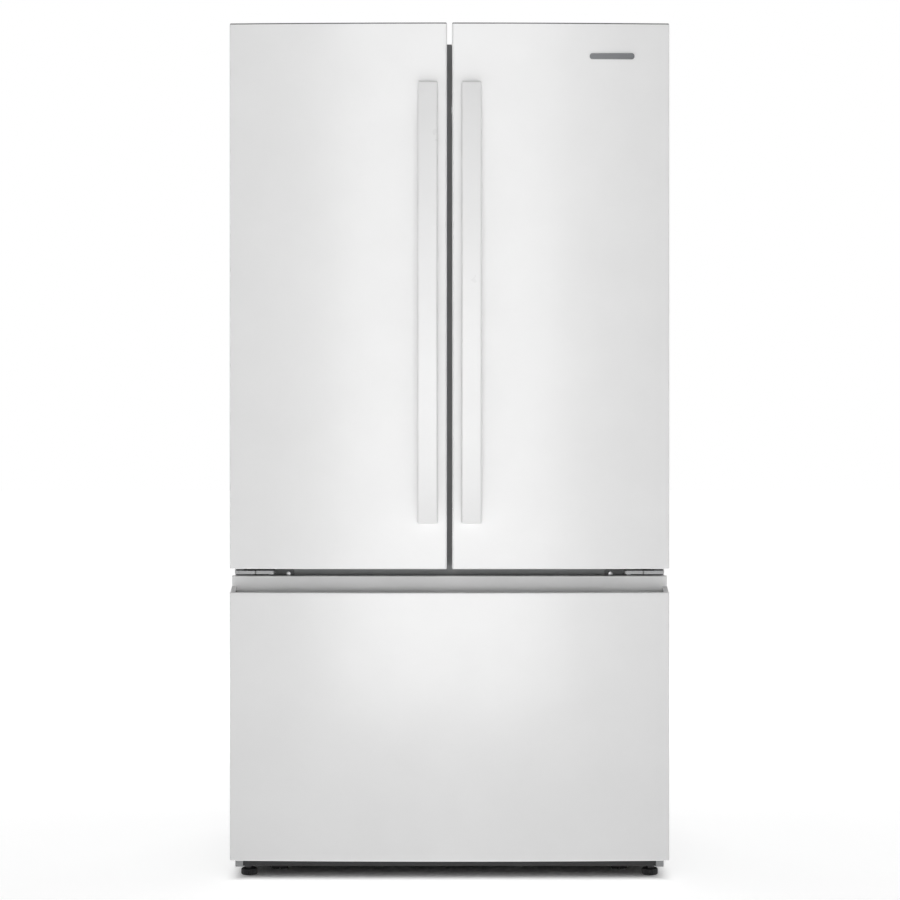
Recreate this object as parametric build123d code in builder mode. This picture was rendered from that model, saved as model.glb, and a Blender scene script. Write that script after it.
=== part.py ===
from build123d import *

import math
import os

# French door refrigerator: two bowed doors over one bowed freezer drawer.
# Millimetres, +Z up, the front faces -Y, the origin is on the floor under the middle of the
# bounding box. Left and right are as seen by someone who stands in front of it.

# ---------------------------------------------------------------- driving dimensions
WIDTH = 908.0  # over the doors
HEIGHT = 1776.0  # floor to door tops
CABINET_DEPTH = 710.0  # cabinet face to back

DOOR_OVERHANG = 4.0  # each door stands this far past the cabinet side
DOOR_RISE = 32.0  # door tops above the cabinet top
DOOR_THICKNESS = 62.0  # at the outer edges
FRONT_BOW = 10.0  # how far the middle of the front stands ahead of its outer edges
DOOR_GAP = 10.3  # between the two doors
DOOR_BOTTOM = 650.0
DOOR_SWING_RISE = 16.6  # gap between the drawer's top and the doors
DRAWER_BOTTOM = 47.5
LIP_DROP = 31.7  # drawer's front lip below its rear wall
LIP_THICKNESS = 13.0
POCKET_GAP = 30.0  # finger room behind the lip
POCKET_DEPTH = 42.0  # lip top to the pocket floor
END_WALL = 11.0  # closes each end of the pocket
END_WALL_RISE = 12.0  # the end walls climb this far from the lip to the back
GASKET_DEPTH = 14.0
GASKET_WIDTH = 14.0
GASKET_CLEARANCE = 0.3
CORNER_RADIUS = 4.0  # upright front corners of the doors and drawer
EDGE_RADIUS = 2.5  # level front edges of the doors and drawer

SHEET = 1.5  # cabinet steel
SKIN = 1.0  # door steel
LINER = 2.0  # moulded inner liners
CAP = 2.5  # door end caps

SIDE_WALL = 40.0  # cabinet side to the outside of a liner
TOP_WALL = 71.0
BACK_WALL = 60.0
RAIL_DROP = 58.0  # bottom of the face rail below the door bottoms
RAIL_RISE = 40.0  # top of the face rail above the door bottoms
FREEZER_BOTTOM = 93.0
BASE_BOTTOM = 20.0
BASE_TOP = 46.0
BASE_CORNER = 16.0  # width of the cabinet's front legs

MACHINE_DEPTH = 237.0  # compressor space at the lower back
MACHINE_TOP = 235.0
MACHINE_SIDE = 10.0
HUMP_WALL = 55.0  # insulation over the compressor space

PIN_RADIUS = 4.0
PIN_CLEARANCE = 0.05
PIN_INSET = 22.0  # hinge pin from the door's outer edge
PIN_SETBACK = 26.0  # hinge pin behind the door's outer front edge
POCKET_WIDTH = 34.0  # hinge pocket in each door top
POCKET_FRONT = 21.0  # hinge pocket ahead of the pin
POCKET_HEIGHT = 28.0
POCKET_WALL = 1.0
BUSH_RADIUS = 9.0
BUSH_LENGTH = 26.0

HANDLE_REACH = 58.0  # handle's middle ahead of the front
HANDLE_END_REACH = 24.0
HANDLE_WIDTH = 41.0
HANDLE_THICKNESS = 15.0
HANDLE_FOOT = 42.0
HANDLE_OFFSET = 45.0  # handle centre from the middle
HANDLE_TOP_DROP = 124.0  # handle top below the door top
HANDLE_BOTTOM_RISE = 94.0  # handle bottom above the door bottom

DIKE_WIDTH = 32.0  # upright ribs on the door liners
DIKE_DEPTH = 82.0
DIKE_HINGE_INSET = 54.0  # rib from the door's outer edge
DIKE_FREE_INSET = 42.0  # rib from the middle
BIN_DEPTH = 108.0
BIN_HEIGHT = 105.0
BIN_WALL = 3.0
FIT = 0.5  # clearance around loose pieces

# ---------------------------------------------------------------- derived positions
HALF_WIDTH = WIDTH / 2
CABINET_HALF = HALF_WIDTH - DOOR_OVERHANG
CABINET_TOP = HEIGHT - DOOR_RISE
DEPTH = HANDLE_REACH + FRONT_BOW + DOOR_THICKNESS + GASKET_DEPTH + CABINET_DEPTH
CROWN_Y = -DEPTH / 2 + HANDLE_REACH
EDGE_Y = CROWN_Y + FRONT_BOW
DOOR_REAR = EDGE_Y + DOOR_THICKNESS
FACE_Y = DOOR_REAR + GASKET_DEPTH
BACK_Y = FACE_Y + CABINET_DEPTH
BOW_RADIUS = (HALF_WIDTH**2 + FRONT_BOW**2) / (2 * FRONT_BOW)
RAIL_BOTTOM = DOOR_BOTTOM - RAIL_DROP
RAIL_TOP = DOOR_BOTTOM + RAIL_RISE
DRAWER_TOP = DOOR_BOTTOM - DOOR_SWING_RISE
LIP_TOP = DRAWER_TOP - LIP_DROP
POCKET_FLOOR = LIP_TOP - POCKET_DEPTH
POCKET_BACK = EDGE_Y + LIP_THICKNESS + POCKET_GAP
PULL_BOTTOM = POCKET_FLOOR - 8.0
PIN_X = HALF_WIDTH - PIN_INSET
PIN_Y = EDGE_Y + PIN_SETBACK

LINER_HALF = CABINET_HALF - SIDE_WALL  # outside of the liners
ROOM_HALF = LINER_HALF - LINER  # inside of the compartments
FRAME_TOP = CABINET_TOP - TOP_WALL
FRIDGE_FLOOR = RAIL_TOP + LINER
FRIDGE_TOP = FRAME_TOP - LINER
FREEZER_FLOOR = FREEZER_BOTTOM + LINER
FREEZER_TOP = RAIL_BOTTOM - LINER
ROOM_BACK = BACK_Y - BACK_WALL - LINER
MACHINE_Y = BACK_Y - MACHINE_DEPTH
HUMP_Y = MACHINE_Y - HUMP_WALL
HUMP_Z = MACHINE_TOP + HUMP_WALL

GASKET_FACE = FACE_Y - GASKET_CLEARANCE
DIKE_BACK = DOOR_REAR + DIKE_DEPTH
DIKE_OUTER = HALF_WIDTH - DIKE_HINGE_INSET
BIN_BACK = DOOR_REAR + BIN_DEPTH


# ---------------------------------------------------------------- helpers
def block(x, y, z, mode=Mode.ADD):
    """A box from its low and high limits along each axis."""
    with Locations((min(x), min(y), min(z))):
        Box(
            abs(x[1] - x[0]),
            abs(y[1] - y[0]),
            abs(z[1] - z[0]),
            align=(Align.MIN, Align.MIN, Align.MIN),
            mode=mode,
        )


def post(x, y, z, radius, mode=Mode.ADD):
    """An upright cylinder between two heights."""
    with Locations((x, y, min(z))):
        Cylinder(radius, abs(z[1] - z[0]), align=(Align.CENTER, Align.CENTER, Align.MIN), mode=mode)


def axle(x, y, z, radius, mode=Mode.ADD):
    """A cylinder along X between two X limits."""
    with Locations(Location((min(x), y, z), (0, 90, 0))):
        Cylinder(radius, abs(x[1] - x[0]), align=(Align.CENTER, Align.CENTER, Align.MIN), mode=mode)


def spindle(x, y, z, radius, mode=Mode.ADD):
    """A cylinder along Y between two Y limits."""
    with Locations(Location((x, max(y), z), (90, 0, 0))):
        Cylinder(radius, abs(y[1] - y[0]), align=(Align.CENTER, Align.CENTER, Align.MIN), mode=mode)


def front_y(x):
    """Y of the bowed front surface at this X."""
    return CROWN_Y + BOW_RADIUS - math.sqrt(BOW_RADIUS**2 - x**2)


def bowed_panel(x, z, inset=0.0, back=DOOR_REAR, corner=0.0, mode=Mode.ADD):
    """A slab behind the bowed front, set in from the front and both ends by the inset."""
    low = x[0] + inset
    high = x[1] - inset
    middle = (low + high) / 2
    with BuildSketch(Plane.XY.offset(z[0])) as plan:
        with BuildLine():
            ThreePointArc(
                (low, front_y(low) + inset),
                (middle, front_y(middle) + inset),
                (high, front_y(high) + inset),
            )
            Polyline(
                (high, front_y(high) + inset),
                (high, back),
                (low, back),
                (low, front_y(low) + inset),
            )
        make_face()
        if corner > 0:
            fillet(plan.vertices().sort_by(Axis.Y)[:2], corner)
    extrude(plan.sketch, amount=z[1] - z[0], mode=mode)


def tub(x, y, z, wall, radius):
    """An open-topped box with rounded upright corners."""
    centre = ((x[0] + x[1]) / 2, (y[0] + y[1]) / 2)
    width = x[1] - x[0]
    depth = y[1] - y[0]
    with BuildSketch(Plane.XY.offset(z[0])) as outside:
        with Locations(centre):
            RectangleRounded(width, depth, radius)
    extrude(outside.sketch, amount=z[1] - z[0])
    with BuildSketch(Plane.XY.offset(z[0] + wall)) as inside:
        with Locations(centre):
            RectangleRounded(width - 2 * wall, depth - 2 * wall, radius - wall)
    extrude(inside.sketch, amount=z[1] - z[0], mode=Mode.SUBTRACT)


def ring(x, y, z, width):
    """A rectangular ring that stands in the XZ plane."""
    block(x, y, z)
    block(
        (x[0] + width, x[1] - width),
        (y[0] - 1, y[1] + 1),
        (z[0] + width, z[1] - width),
        Mode.SUBTRACT,
    )


def side_limits(side, low, high):
    """X limits on one side of the cabinet; side is -1 for left and 1 for right."""
    return tuple(sorted((side * low, side * high)))


# ---------------------------------------------------------------- cabinet casing
with BuildPart() as cabinet_shell:
    block((-CABINET_HALF, CABINET_HALF), (FACE_Y, BACK_Y), (BASE_BOTTOM, CABINET_TOP))
    block(
        (-CABINET_HALF + SHEET, CABINET_HALF - SHEET),
        (FACE_Y + SHEET, BACK_Y + 1),
        (BASE_BOTTOM - 1, CABINET_TOP - SHEET),
        Mode.SUBTRACT,
    )
    block(
        (-LINER_HALF, LINER_HALF),
        (FACE_Y - 1, FACE_Y + SHEET + 1),
        (FREEZER_BOTTOM, FRAME_TOP),
        Mode.SUBTRACT,
    )
    LEG_HALF = CABINET_HALF - BASE_CORNER
    block((-LEG_HALF, LEG_HALF), (FACE_Y - 1, FACE_Y + SHEET + 1), (0, BASE_TOP), Mode.SUBTRACT)
    long_edges = cabinet_shell.edges().filter_by(Axis.Y).group_by(Axis.Z)[-1]
    fillet(long_edges, SHEET - 0.1)

with BuildPart() as back_panel:
    INNER_HALF = CABINET_HALF - SHEET
    MACHINE_HALF = CABINET_HALF - MACHINE_SIDE
    block((-INNER_HALF, INNER_HALF), (BACK_Y - SHEET, BACK_Y), (MACHINE_TOP, CABINET_TOP - SHEET))
    block(
        (-MACHINE_HALF, MACHINE_HALF), (MACHINE_Y, BACK_Y - SHEET), (MACHINE_TOP, MACHINE_TOP + SHEET)
    )
    block(
        (-MACHINE_HALF, MACHINE_HALF),
        (MACHINE_Y - SHEET, MACHINE_Y),
        (BASE_TOP + SHEET, MACHINE_TOP + SHEET),
    )

COVER_SLOT = (6.0, 60.0)
COVER_SLOT_PITCH = 18.0
COVER_SLOT_COUNT = 16
with BuildPart() as machine_cover:
    COVER_Z = (BASE_TOP + 2 * SHEET, MACHINE_TOP - 0.5)
    block((-INNER_HALF, INNER_HALF), (BACK_Y - SHEET, BACK_Y), COVER_Z)
    with Locations((0, BACK_Y - SHEET / 2, (COVER_Z[0] + COVER_Z[1]) / 2)):
        for side in (-1, 1):
            with Locations((side * CABINET_HALF / 2, 0, 0)):
                with GridLocations(COVER_SLOT_PITCH, 1, COVER_SLOT_COUNT, 1):
                    Box(COVER_SLOT[0], 4 * SHEET, COVER_SLOT[1], mode=Mode.SUBTRACT)

with BuildPart() as fridge_liner:
    block((-LINER_HALF, LINER_HALF), (FACE_Y, ROOM_BACK + LINER), (RAIL_TOP, FRAME_TOP))
    block((-ROOM_HALF, ROOM_HALF), (FACE_Y - 1, ROOM_BACK), (FRIDGE_FLOOR, FRIDGE_TOP), Mode.SUBTRACT)

with BuildPart() as freezer_liner:
    block((-LINER_HALF, LINER_HALF), (FACE_Y, ROOM_BACK + LINER), (FREEZER_BOTTOM, RAIL_BOTTOM))
    block(
        (-LINER_HALF - 1, LINER_HALF + 1),
        (HUMP_Y, ROOM_BACK + LINER + 1),
        (FREEZER_BOTTOM - 1, HUMP_Z),
        Mode.SUBTRACT,
    )
    block(
        (-ROOM_HALF, ROOM_HALF), (FACE_Y - 1, HUMP_Y - LINER), (FREEZER_FLOOR, FREEZER_TOP), Mode.SUBTRACT
    )
    block((-ROOM_HALF, ROOM_HALF), (FACE_Y, ROOM_BACK), (HUMP_Z + LINER, FREEZER_TOP), Mode.SUBTRACT)

RAIL_LIP = 26.0
with BuildPart() as center_rail:
    block((-LINER_HALF, LINER_HALF), (FACE_Y, FACE_Y + SHEET), (RAIL_BOTTOM, RAIL_TOP))
    block((-LINER_HALF, LINER_HALF), (FACE_Y, FACE_Y + RAIL_LIP), (RAIL_TOP - SHEET, RAIL_TOP))
    block((-LINER_HALF, LINER_HALF), (FACE_Y, FACE_Y + RAIL_LIP), (RAIL_BOTTOM, RAIL_BOTTOM + SHEET))

# ---------------------------------------------------------------- base, feet and rollers
FOOT_INSET = 27.0  # foot centre from the cabinet side
FOOT_SETBACK = 24.0  # foot centre behind the cabinet face
FOOT_RADIUS = 17.0
FOOT_HEIGHT = 14.0
STUD_RADIUS = 5.0
STUD_TOP = 70.0
FRONT_ROLLER = {"inset": 88.0, "y": FACE_Y + 72.0, "radius": 17.0, "width": 32.0, "z": 19.0}
REAR_ROLLER = {"inset": 50.0, "y": BACK_Y - 38.0, "radius": 20.0, "width": 20.0, "z": 20.0}
EAR = 4.0
EAR_GAP = 1.0
EAR_LENGTH = 34.0
AXLE_RADIUS = 4.0
RAIL_DEPTH = 44.0
FOOT_X = CABINET_HALF - FOOT_INSET
FOOT_Y = FACE_Y + FOOT_SETBACK


def roller_bracket(side, roller):
    """Two ears and a fixed axle for one roller."""
    centre = side * (CABINET_HALF - roller["inset"])
    y = roller["y"]
    inner = roller["width"] / 2 + EAR_GAP
    for direction in (-1, 1):
        near = centre + direction * inner
        far = near + direction * EAR
        block(
            tuple(sorted((near, far))),
            (y - EAR_LENGTH / 2, y + EAR_LENGTH / 2),
            (roller["z"] - 9, BASE_TOP),
        )
    axle((centre - inner - EAR, centre + inner + EAR), y, roller["z"], AXLE_RADIUS)


def roller_wheel(side, roller):
    """One roller with a running bore for its axle."""
    centre = side * (CABINET_HALF - roller["inset"])
    y = roller["y"]
    limits = (centre - roller["width"] / 2, centre + roller["width"] / 2)
    axle(limits, y, roller["z"], roller["radius"])
    axle(limits, y, roller["z"], AXLE_RADIUS + PIN_CLEARANCE, Mode.SUBTRACT)


with BuildPart() as base_frame:
    block((-INNER_HALF, INNER_HALF), (FACE_Y + SHEET, BACK_Y - SHEET), (BASE_TOP, BASE_TOP + SHEET))
    block((-LEG_HALF, LEG_HALF), (FACE_Y + 3, FACE_Y + RAIL_DEPTH), (BASE_BOTTOM + 1, BASE_TOP))
    block(
        (-LEG_HALF + SHEET, LEG_HALF - SHEET),
        (FACE_Y + 3 + SHEET, FACE_Y + RAIL_DEPTH - SHEET),
        (BASE_BOTTOM, BASE_TOP - 3),
        Mode.SUBTRACT,
    )
    for side in (-1, 1):
        block(
            side_limits(side, LEG_HALF, INNER_HALF),
            (FACE_Y + SHEET, BACK_Y - SHEET),
            (BASE_BOTTOM, BASE_TOP),
        )
        roller_bracket(side, FRONT_ROLLER)
        roller_bracket(side, REAR_ROLLER)
        hole_z = (0, BASE_TOP + SHEET + 1)
        post(side * FOOT_X, FOOT_Y, hole_z, STUD_RADIUS + PIN_CLEARANCE, Mode.SUBTRACT)

with BuildPart() as front_rollers:
    for side in (-1, 1):
        roller_wheel(side, FRONT_ROLLER)

with BuildPart() as rear_rollers:
    for side in (-1, 1):
        roller_wheel(side, REAR_ROLLER)

with BuildPart() as left_foot:
    post(-FOOT_X, FOOT_Y, (0, FOOT_HEIGHT), FOOT_RADIUS)
    chamfer(left_foot.edges().group_by(Axis.Z)[-1], 3)
    with BuildSketch(Plane.XY.offset(FOOT_HEIGHT)) as hexagon:
        with Locations((-FOOT_X, FOOT_Y)):
            RegularPolygon(9, 6)
    extrude(hexagon.sketch, amount=6)
    post(-FOOT_X, FOOT_Y, (FOOT_HEIGHT, STUD_TOP), STUD_RADIUS)

with BuildPart() as right_foot:
    mirror(left_foot.part, about=Plane.YZ)

# ---------------------------------------------------------------- cabinet insulation
with BuildPart() as cabinet_foam:
    block(
        (-INNER_HALF, INNER_HALF),
        (FACE_Y + SHEET, BACK_Y - SHEET),
        (BASE_TOP + SHEET, CABINET_TOP - SHEET),
    )
    block(
        (-LINER_HALF, LINER_HALF), (FACE_Y, ROOM_BACK + LINER), (RAIL_TOP, FRAME_TOP), Mode.SUBTRACT
    )
    block(
        (-LINER_HALF, LINER_HALF), (FACE_Y, HUMP_Y), (FREEZER_BOTTOM, RAIL_BOTTOM), Mode.SUBTRACT
    )
    block(
        (-LINER_HALF, LINER_HALF), (FACE_Y, ROOM_BACK + LINER), (HUMP_Z, RAIL_BOTTOM), Mode.SUBTRACT
    )
    block(
        (-MACHINE_HALF, MACHINE_HALF),
        (MACHINE_Y - SHEET, BACK_Y),
        (BASE_TOP, MACHINE_TOP + SHEET),
        Mode.SUBTRACT,
    )
    add(center_rail.part, mode=Mode.SUBTRACT)
    for side in (-1, 1):
        post(side * FOOT_X, FOOT_Y, (BASE_TOP, STUD_TOP + 5), STUD_RADIUS + 2, Mode.SUBTRACT)

# ---------------------------------------------------------------- door hinges
HINGE_PLATE = 4.0
HINGE_ARM_HALF = 8.0
HINGE_TOP_Z = HEIGHT - POCKET_HEIGHT + 2.0
HINGE_BASE_DEPTH = 78.0
HINGE_BASE_WIDTH = 76.0
CENTER_PLATE_Z = (DRAWER_TOP + 4.6, DRAWER_TOP + 8.6)
CENTER_PLATE_WIDTH = 85.0
CENTER_FLANGE_WIDTH = 120.0
CENTER_FLANGE_DROP = 18.0
CAM_RADIUS = 11.0
HINGE_OUTER = PIN_X + 14.0
FLANGE = 3.0
SCREW_RADIUS = 4.5
SCREW_HEAD = 2.5

with BuildPart() as top_hinges:
    for side in (-1, 1):
        x = side * PIN_X
        base_x = side_limits(side, HINGE_OUTER - HINGE_BASE_WIDTH, HINGE_OUTER)
        arm_z = (HINGE_TOP_Z, HINGE_TOP_Z + HINGE_PLATE)
        post(x, PIN_Y, arm_z, HINGE_ARM_HALF)
        block((x - HINGE_ARM_HALF, x + HINGE_ARM_HALF), (PIN_Y, FACE_Y + HINGE_BASE_DEPTH), arm_z)
        block(base_x, (FACE_Y + 12, FACE_Y + HINGE_BASE_DEPTH), (CABINET_TOP, HINGE_TOP_Z + HINGE_PLATE))
        post(x, PIN_Y, (HINGE_TOP_Z - BUSH_LENGTH, HINGE_TOP_Z), PIN_RADIUS)

with BuildPart() as center_hinges:
    for side in (-1, 1):
        x = side * PIN_X
        plate_x = side_limits(side, HINGE_OUTER - CENTER_PLATE_WIDTH, HINGE_OUTER)
        flange_x = side_limits(side, HINGE_OUTER - CENTER_FLANGE_WIDTH, HINGE_OUTER)
        flange_z = (CENTER_PLATE_Z[1] - CENTER_FLANGE_DROP, CENTER_PLATE_Z[1])
        block(plate_x, (PIN_Y + 6, FACE_Y), CENTER_PLATE_Z)
        block((x - 14, x + 14), (PIN_Y - 12, PIN_Y + 8), CENTER_PLATE_Z)
        block(flange_x, (FACE_Y - FLANGE, FACE_Y), flange_z)
        post(x, PIN_Y, (CENTER_PLATE_Z[1], DOOR_BOTTOM - GASKET_CLEARANCE), CAM_RADIUS)
        post(x, PIN_Y, (CENTER_PLATE_Z[1], DOOR_BOTTOM + BUSH_LENGTH - 4), PIN_RADIUS)

with BuildPart() as hinge_screws:
    for side in (-1, 1):
        for step in (12, 50):
            screw_x = side * (HINGE_OUTER - CENTER_FLANGE_WIDTH + step)
            screw_z = CENTER_PLATE_Z[1] - CENTER_FLANGE_DROP / 2 - 1
            spindle(screw_x, (FACE_Y - FLANGE - SCREW_HEAD, FACE_Y - FLANGE), screw_z, SCREW_RADIUS)
        for setback in (30, 60):
            screw_z = (HINGE_TOP_Z + HINGE_PLATE, HINGE_TOP_Z + HINGE_PLATE + SCREW_HEAD)
            post(side * (PIN_X - 36), FACE_Y + setback, screw_z, SCREW_RADIUS)

COVER_WIDTH = 100.0
COVER_DEPTH = 96.0
COVER_WALL = 2.0
COVER_FRONT = 5.0  # clear of the door's swinging rear corner
with BuildPart() as hinge_covers:
    for side in (-1, 1):
        outer = PIN_X + 17
        limits = side_limits(side, outer - COVER_WIDTH, outer)
        cover_y = (FACE_Y + COVER_FRONT, FACE_Y + COVER_FRONT + COVER_DEPTH)
        block(limits, cover_y, (CABINET_TOP, HEIGHT - 3))
    fillet(hinge_covers.edges().filter_by(Axis.Z), 6)
    for side in (-1, 1):
        outer = PIN_X + 17
        limits = side_limits(side, outer - COVER_WIDTH + COVER_WALL, outer - COVER_WALL)
        block(
            limits,
            (cover_y[0] + COVER_WALL, cover_y[1] - COVER_WALL),
            (CABINET_TOP - 1, HEIGHT - 3 - COVER_WALL),
            Mode.SUBTRACT,
        )
        x = side * PIN_X
        block(
            (x - HINGE_ARM_HALF - 1, x + HINGE_ARM_HALF + 1),
            (cover_y[0] - 1, cover_y[0] + COVER_WALL + 1),
            (CABINET_TOP - 1, HINGE_TOP_Z + HINGE_PLATE + 1),
            Mode.SUBTRACT,
        )

# ---------------------------------------------------------------- left door
LEFT_X = (-HALF_WIDTH, -DOOR_GAP / 2)
CAP_BOTTOM = HEIGHT - CAP
POCKET_Z = HEIGHT - POCKET_HEIGHT
POCKET_X = (-HALF_WIDTH - 1, -HALF_WIDTH + POCKET_WIDTH)
TRAY_X = (-HALF_WIDTH + SKIN, -HALF_WIDTH + POCKET_WIDTH + CAP)
TRAY_Y = (PIN_Y - POCKET_FRONT - POCKET_WALL, DOOR_REAR)
TRAY_Z = (POCKET_Z - CAP, CAP_BOTTOM)


def hinge_pocket(mode=Mode.SUBTRACT):
    """The corner of the door top that the hinge arm sweeps through."""
    block(POCKET_X, (PIN_Y - POCKET_FRONT, DOOR_REAR + 1), (POCKET_Z, HEIGHT + 1), mode)


def hinge_bore(z):
    """A running bore for a hinge pin."""
    post(-PIN_X, PIN_Y, z, PIN_RADIUS + PIN_CLEARANCE, Mode.SUBTRACT)


with BuildPart() as left_door_skin:
    bowed_panel(LEFT_X, (DOOR_BOTTOM, CAP_BOTTOM), corner=CORNER_RADIUS)
    bottom_front = [
        edge
        for edge in left_door_skin.edges().group_by(Axis.Z)[0]
        if edge.center().Y < EDGE_Y + CORNER_RADIUS
    ]
    fillet(bottom_front, EDGE_RADIUS)
    bowed_panel(
        LEFT_X,
        (DOOR_BOTTOM + CAP, CAP_BOTTOM),
        inset=SKIN,
        back=DOOR_REAR + 1,
        corner=CORNER_RADIUS - SKIN,
        mode=Mode.SUBTRACT,
    )
    bowed_panel(
        LEFT_X, (DOOR_BOTTOM, DOOR_BOTTOM + CAP), inset=8, back=DOOR_REAR + 1, mode=Mode.SUBTRACT
    )
    hinge_pocket()

with BuildPart() as left_door_caps:
    bowed_panel(LEFT_X, (CAP_BOTTOM, HEIGHT), inset=0.6, corner=CORNER_RADIUS)
    hinge_pocket()
    block(TRAY_X, TRAY_Y, TRAY_Z)
    post(-PIN_X, PIN_Y, (POCKET_Z - BUSH_LENGTH - 4, POCKET_Z), BUSH_RADIUS)
    hinge_pocket()
    hinge_bore((POCKET_Z - BUSH_LENGTH - 2, HEIGHT))
    bowed_panel(LEFT_X, (DOOR_BOTTOM, DOOR_BOTTOM + CAP), inset=8)
    post(-PIN_X, PIN_Y, (DOOR_BOTTOM, DOOR_BOTTOM + BUSH_LENGTH + 2), BUSH_RADIUS)
    hinge_bore((DOOR_BOTTOM - 1, DOOR_BOTTOM + BUSH_LENGTH))

with BuildPart() as left_door_foam:
    bowed_panel(
        LEFT_X,
        (DOOR_BOTTOM + CAP, CAP_BOTTOM),
        inset=SKIN,
        back=DOOR_REAR - LINER,
        corner=CORNER_RADIUS - SKIN,
    )
    block((TRAY_X[0] - 2, TRAY_X[1]), (TRAY_Y[0], DOOR_REAR), (TRAY_Z[0], TRAY_Z[1] + 1), Mode.SUBTRACT)
    post(-PIN_X, PIN_Y, (POCKET_Z - BUSH_LENGTH - 4, POCKET_Z), BUSH_RADIUS, Mode.SUBTRACT)
    post(-PIN_X, PIN_Y, (DOOR_BOTTOM, DOOR_BOTTOM + BUSH_LENGTH + 2), BUSH_RADIUS, Mode.SUBTRACT)

# The centre mullion bar is hinged on the left door's free side.
BAR_AXIS_X = -24.1
BAR_AXIS_Y = FACE_Y + 7.4
BAR_X = (-37.0, -17.0)
BAR_Y = (FACE_Y + 0.5, FACE_Y + 62.5)
BAR_BRACKET = 6.5
BAR_EYE = 4.5  # bracket past the bar's pin, to the front and the back
BAR_PIN_RADIUS = 2.0
BAR_PIN_LENGTH = 26.0
DIKE_Z = (FRIDGE_FLOOR + 3, FRIDGE_TOP - 7)
BAR_Z = (DIKE_Z[0] + BAR_BRACKET + 1, DIKE_Z[1] - BAR_BRACKET - 1)


def door_liner():
    """Inner panel of a door with its two upright ribs."""
    block(
        (-HALF_WIDTH + SKIN, -DOOR_GAP / 2 - SKIN),
        (DOOR_REAR - LINER, DOOR_REAR),
        (DOOR_BOTTOM + CAP, CAP_BOTTOM),
    )
    block(TRAY_X, TRAY_Y, (TRAY_Z[0], TRAY_Z[1] + 1), Mode.SUBTRACT)
    for low in (-DIKE_OUTER, -DIKE_FREE_INSET - DIKE_WIDTH):
        block((low, low + DIKE_WIDTH), (DOOR_REAR, DIKE_BACK), DIKE_Z)


with BuildPart() as left_door_liner:
    door_liner()
    rib_edges = left_door_liner.edges().filter_by(Axis.Z).group_by(Axis.Y)[-1]
    fillet(rib_edges, 8)
    for z, pin in (
        ((DIKE_Z[0], DIKE_Z[0] + BAR_BRACKET), (DIKE_Z[0], BAR_Z[0] + BAR_PIN_LENGTH)),
        ((DIKE_Z[1] - BAR_BRACKET, DIKE_Z[1]), (BAR_Z[1] - BAR_PIN_LENGTH, DIKE_Z[1])),
    ):
        block((-DIKE_FREE_INSET - 1, BAR_AXIS_X + BAR_EYE), (BAR_AXIS_Y - BAR_EYE, BAR_AXIS_Y + BAR_EYE), z)
        post(BAR_AXIS_X, BAR_AXIS_Y, pin, BAR_PIN_RADIUS)

with BuildPart() as mullion_bar:
    block(BAR_X, BAR_Y, BAR_Z)
    uprights = mullion_bar.edges().filter_by(Axis.Z)
    fillet(uprights.group_by(Axis.Y)[0], 5.5)
    fillet(mullion_bar.edges().filter_by(Axis.Z).group_by(Axis.Y)[-1], 3)
    post(
        BAR_AXIS_X, BAR_AXIS_Y, (BAR_Z[0] - 1, BAR_Z[1] + 1), BAR_PIN_RADIUS + PIN_CLEARANCE, Mode.SUBTRACT
    )

TRIM_DEPTH = 4.0
TRIM_REACH = 7.2  # covers most of the gap between the doors
with BuildPart() as left_door_edge_trim:
    block(
        (-DOOR_GAP / 2, -DOOR_GAP / 2 + TRIM_REACH),
        (DOOR_REAR - TRIM_DEPTH, DOOR_REAR),
        (FRIDGE_FLOOR - 20, CABINET_TOP),
    )

with BuildPart() as left_door_gasket:
    ring(
        (-PIN_X + 2, -DOOR_GAP / 2 - 5),
        (DOOR_REAR, GASKET_FACE),
        (RAIL_TOP - 26, FRAME_TOP + 31),
        GASKET_WIDTH,
    )

HANDLE_Z = (DOOR_BOTTOM + HANDLE_BOTTOM_RISE, HEIGHT - HANDLE_TOP_DROP)


def bow_handle():
    """A bowed strap whose two feet stand on the door."""
    low, high = HANDLE_Z
    middle = (low + high) / 2
    foot = HANDLE_FOOT
    end_y = CROWN_Y - HANDLE_END_REACH
    inner_end = end_y + HANDLE_THICKNESS - 6
    inner_middle = CROWN_Y - HANDLE_REACH + HANDLE_THICKNESS
    with BuildSketch(Plane.YZ.offset(-HANDLE_OFFSET - HANDLE_WIDTH / 2)) as profile:
        with BuildLine():
            ThreePointArc((end_y, low), (CROWN_Y - HANDLE_REACH, middle), (end_y, high))
            Polyline((end_y, high), (EDGE_Y, high), (EDGE_Y, high - foot), (inner_end, high - foot))
            ThreePointArc((inner_end, high - foot), (inner_middle, middle), (inner_end, low + foot))
            Polyline((inner_end, low + foot), (EDGE_Y, low + foot), (EDGE_Y, low), (end_y, low))
        make_face()
    extrude(profile.sketch, amount=HANDLE_WIDTH)
    bowed_panel((-HALF_WIDTH, HALF_WIDTH), (low - 1, high + 1), mode=Mode.SUBTRACT)


with BuildPart() as left_door_handle:
    bow_handle()
    outer_arcs = [
        edge
        for edge in left_door_handle.edges().filter_by(GeomType.CIRCLE)
        if abs(edge.center().X + HANDLE_OFFSET) > HANDLE_WIDTH / 2 - 0.1 and edge.center().Y < CROWN_Y - 30
    ]
    fillet(outer_arcs, 3.5)


def door_bin(x, z, height=BIN_HEIGHT):
    """One removable bin between the door's ribs."""
    tub(x, (DOOR_REAR + FIT, BIN_BACK), (z, z + height), BIN_WALL, 14)


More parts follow.
